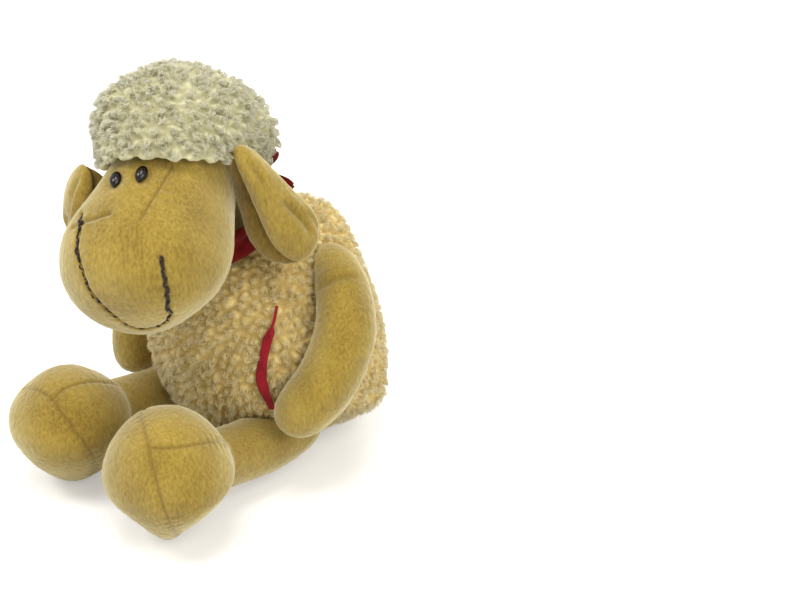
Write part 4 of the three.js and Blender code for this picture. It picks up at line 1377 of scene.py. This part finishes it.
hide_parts("wool_cap")

# Its strands lie away from the crown, with soft swirls
CROWN = from_skull(-2, -6, 46)
away = roots - CROWN
away /= np.maximum(np.linalg.norm(away, axis=1, keepdims=True), 8)
flow = along_surface(0.8 * away + noise_vectors(roots, 11, 81), normals)
paths, owner = strands(roots, normals, flow, CAP_SPACING, CAP_RISE, CAP_RUN, CAP_STRANDS, random)
near_eye = np.zeros(len(paths), bool)
for place, normal in eye_seats.values():
    gap = np.linalg.norm(paths[:, 3:] - (place + normal * 3), axis=2).min(axis=1)
    near_eye |= gap < EYE_CLEAR
skull_form = (head_tree, SKULL - 90, SKULL + 90)
kept = ~near_eye & ~intruding(paths, [form_of(ear_skins[side]) for side in LABELS] + [skull_form])
add_strands("cap_wool", paths[kept], owner[kept], len(roots), random, "head", "fleece_cap", 4)


# Eyes, mouth, neckerchief and tape
for side, label in LABELS.items():
    place, normal = eye_seats[side]
    face = place + normal * FIT
    across = unit(np.cross(HEAD_AHEAD, normal))
    upright = np.cross(across, normal)
    polar = np.radians(np.linspace(*EYE_POLAR, EYE_RINGS))
    angle = 2 * np.pi * np.arange(EYE_SIDES) / EYE_SIDES
    s, c = np.sin(polar)[:, None], np.cos(polar)[:, None]
    depth = np.where(c > 0, EYE_BULGE, EYE_BACK) * c
    x = EYE_WIDTH / 2 * s * np.cos(angle)[None]
    y = EYE_LENGTH / 2 * s * np.sin(angle)[None]
    low = np.clip(-y * np.sign(upright[2]) / (EYE_LENGTH / 2), 0, 1)
    x = x * (1 - 0.30 * low ** 2)
    rings = (face + across * x[..., None] + upright * y[..., None]
             + normal * (depth * np.ones_like(x))[..., None])
    dome = new_object(f"eye_{label}_dome", *loft(rings, face + normal * EYE_BULGE, face - normal * EYE_STEM))
    wear(dome, "eye")
    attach(dome, "head")
    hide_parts(f"eye_{label}")
    wear(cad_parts[f"eye_washer_{label}"], "washer")

# The mouth's stitches, whose thread lies deep in its seam under the muzzle
STITCH = 3.6
steps = np.linspace(0, 1, 420)
mouth_spine = Spine(np.vstack([MOUTH[::5], MOUTH[-1:]]))
where = steps * mouth_spine.length
found = [head_skin_tree.find_nearest(Vector(p)) for p in mouth_spine.at(steps)]
near, out = np.array([f[0] for f in found]), np.array([f[1] for f in found])
stitch = np.abs(np.sin(np.pi * where / STITCH))
sunk = smooth((steps - 0.185) / 0.03) * smooth((0.775 - steps) / 0.03)
for more in (smooth((0.05 - steps) / 0.03), 0.9 * np.exp(-((steps - 0.105) / 0.018) ** 2)):
    sunk = np.maximum(sunk, more)
line = near + out * (0.22 + 0.34 * stitch ** 0.5 - 0.80 * sunk)[:, None]
line += np.cross(out, mouth_spine.tangent(steps)) * (0.28 * np.sin(np.pi * where / STITCH))[:, None]
radius = THREAD / 2 * (0.56 + 0.34 * stitch ** 0.6) * (1 - 0.25 * sunk)
points, faces, _, _ = tubes(line[None], radius[None], 10)
mouth_stitches = new_object("mouth_stitches", points, faces)
wear(mouth_stitches, "thread")
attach(mouth_stitches, "head")
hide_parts("mouth_thread")

# Neck
NECK_VOXEL, NECK_INSET = 1.6, 0.3
neck_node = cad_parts["neck_filling"]
neck_skin = even_mesh("neck_velour", [(points_of(neck_node), [triangles_of(neck_node)])], NECK_VOXEL,
                      follow=False)
points, normals = points_of(neck_skin), normals_of(neck_skin)
set_points(neck_skin, points - normals * NECK_INSET)
# The neck has no painted shade
set_attribute(neck_skin, "shade", np.zeros(len(points)))
wear(neck_skin, "velour")
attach(neck_skin, "neck")
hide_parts("neck_filling")

neck_seat = hit(body_tree, BODY_MIDDLE, NECK_AXIS)[0]
head_seat = hit(plain_head_tree, SKULL, -NECK_AXIS)[0]
NECK_MIDDLE = (neck_seat + head_seat) / 2
NECK_FRONT = unit(HEAD_AHEAD - NECK_AXIS * (HEAD_AHEAD @ NECK_AXIS))
NECK_SIDE = -np.cross(NECK_AXIS, NECK_FRONT)
BAND_RADIUS, BAND_HEIGHT, BAND_THICKNESS, BAND_FLARE = 22.2, 13, 1.6, 3
BAND_CLOTH, TIP_CLOTH, TAPE_CLOTH = 0.7, 0.6, 0.7


def round_neck(azimuth, radius, height):
    return (NECK_MIDDLE + NECK_FRONT * (radius * np.cos(azimuth))[..., None]
            + NECK_SIDE * (radius * np.sin(azimuth))[..., None] + NECK_AXIS * np.asarray(height)[..., None])


def strip(rows, thickness, wrapped=False):
    """Points and faces of a strip of cloth on the rows (n, m, 3), closed at its free edges."""
    n, m, _ = rows.shape
    offset = unit(np.cross(np.gradient(rows, axis=0), np.gradient(rows, axis=1))) * thickness / 2
    points = np.vstack([(rows + offset).reshape(-1, 3), (rows - offset).reshape(-1, 3)])
    at = np.arange(n * m).reshape(n, m)
    other = at + n * m
    if wrapped:
        at, other = np.vstack([at, at[:1]]), np.vstack([other, other[:1]])
    faces = [
        np.stack([at[:-1, :-1], at[1:, :-1], at[1:, 1:], at[:-1, 1:]], axis=-1).reshape(-1, 4),
        np.stack([other[:-1, :-1], other[:-1, 1:], other[1:, 1:], other[1:, :-1]], axis=-1).reshape(-1, 4),
        np.stack([at[:-1, 0], other[:-1, 0], other[1:, 0], at[1:, 0]], axis=-1),
        np.stack([at[:-1, -1], at[1:, -1], other[1:, -1], other[:-1, -1]], axis=-1),
    ]
    if not wrapped:
        faces += [
            np.stack([at[0, :-1], at[0, 1:], other[0, 1:], other[0, :-1]], axis=-1),
            np.stack([at[-1, :-1], other[-1, :-1], other[-1, 1:], at[-1, 1:]], axis=-1),
        ]
    return points, faces


BAND_TURNS, BAND_ROWS = 220, 30
azimuth = 2 * np.pi * np.arange(BAND_TURNS) / BAND_TURNS
azimuth, share = np.meshgrid(azimuth, np.linspace(0, 1, BAND_ROWS), indexing="ij")
sample = np.stack([np.cos(azimuth) * 8, np.sin(azimuth) * 8, share * 3], axis=-1).reshape(-1, 3)
folds = layered_noise(sample, 2.2, 91).reshape(azimuth.shape)
radius = (BAND_RADIUS + BAND_THICKNESS / 2 + BAND_FLARE * share
          + 0.9 * np.sin(np.pi * 3 * share + 1.2 * folds) * (1 - 0.4 * share) + 0.8 * folds * share)
height = BAND_HEIGHT * (0.5 - share) + 0.8 * folds * (1 - share) * share
band = new_object("neckerchief_wrap", *strip(round_neck(azimuth, radius, height), BAND_CLOTH, True))
wear(band, "cloth")
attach(band, "neck")
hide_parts("neckerchief_band")

KNOT_WIDTH, KNOT_HEIGHT, KNOT_DEPTH, KNOT_UP = 13, 11, 10, 3
knot_out = BAND_RADIUS + BAND_THICKNESS + BAND_FLARE * (0.5 - KNOT_UP / BAND_HEIGHT) + FIT + KNOT_DEPTH / 2
knot_middle = round_neck(np.array(np.pi), np.array(knot_out), np.array(float(KNOT_UP)))
reach = NECK_SIDE * KNOT_WIDTH / 2
knot_form = {
    "spine": [knot_middle - reach, knot_middle, knot_middle + reach], "half_width": KNOT_DEPTH / 2,
    "half_height": KNOT_HEIGHT / 2, "up": NECK_AXIS, "swell": [1, 1, 1], "fullness": 2.2,
}
knot = new_object("neckerchief_tied_knot", *stuffed(knot_form, 0.3, rings=48, sides=64))
points, normals = points_of(knot), normals_of(knot)
across = (points - knot_middle) @ NECK_SIDE
waves = np.sin(across * 1.9 + 0.8 * layered_noise(points, 4, 95)) * np.clip(1 - np.abs(across) / 7, 0, 1)
pinch = np.exp(-((np.abs(across) - 3.4) / 0.7) ** 2)
set_points(knot, points + normals * (0.45 * waves - 0.9 * pinch)[:, None])
wear(knot, "cloth")
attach(knot, "neck")
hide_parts("neckerchief_knot")

TIP_HALF_WIDTH, TIP_WIDTHS = 5.5, [0.5, 0.85, 1.05, 1.0]
TIP_ENDS = {"upper": [7, -34, 27.5], "lower": [17, -34.5, 12]}
for name, (sideways, ahead, above) in TIP_ENDS.items():
    end = NECK_MIDDLE + np.array([sideways, -ahead, above])
    spine = Spine([knot_middle, (knot_middle + end) / 2, end])
    share = np.linspace(0.10, 0.995, 44)
    centre, tangent = spine.at(share), spine.tangent(share)
    across = unit(np.cross(NECK_FRONT, tangent))
    upright = np.cross(tangent, across)
    half = TIP_HALF_WIDTH * run_through(TIP_WIDTHS, share) * (1 - share ** 6) ** 0.5
    v = np.linspace(-1, 1, 17)
    curl = 0.9 * np.cos(v * 2.6) * np.sin(share * 2.4)[:, None] + 0.35 * np.sin(9 * share)[:, None]
    rows = (centre[:, None] + across[:, None] * (half[:, None] * v)[..., None]
            + upright[:, None] * (curl * 0.9)[..., None])
    tip = new_object(f"neckerchief_point_{name}", *strip(rows, TIP_CLOTH))
    wear(tip, "cloth")
    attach(tip, "neck")
    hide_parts(f"neckerchief_tip_{name}")

# Side tape on the fleece
v = np.linspace(-1, 1, 9)[None, :, None]
rows = (ribbon_line[:, None] + ribbon_side[:, None] * ribbon_half[:, None, None] * v
        + ribbon_out[:, None] * 0.6 * (1 - v * v))
tape = new_object("side_ribbon", *strip(rows, TAPE_CLOTH))
wear(tape, "tape")
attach(tape, "torso")
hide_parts("side_tape")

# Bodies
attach(head_skin, "head")
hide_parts("head_skin", "head_filling")
for side, label in LABELS.items():
    arm, leg, ear = arm_skins[side], leg_skins[side], ear_skins[side]
    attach(arm, f"arm_{label}")
    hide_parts(f"arm_{label}_skin", f"arm_{label}_filling")
    start, end = (before_body(place, side) * MM for place in ([37, 1.5, 22], [37, 16.5, 22]))
    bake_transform(leg)
    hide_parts(f"leg_{label}_skin", f"leg_{label}_filling", f"foot_{label}_upper",
                f"foot_{label}_sole", f"foot_{label}_filling")
    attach(ear, f"ear_{label}")
    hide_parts(f"ear_{label}_outer", f"ear_{label}_lining")
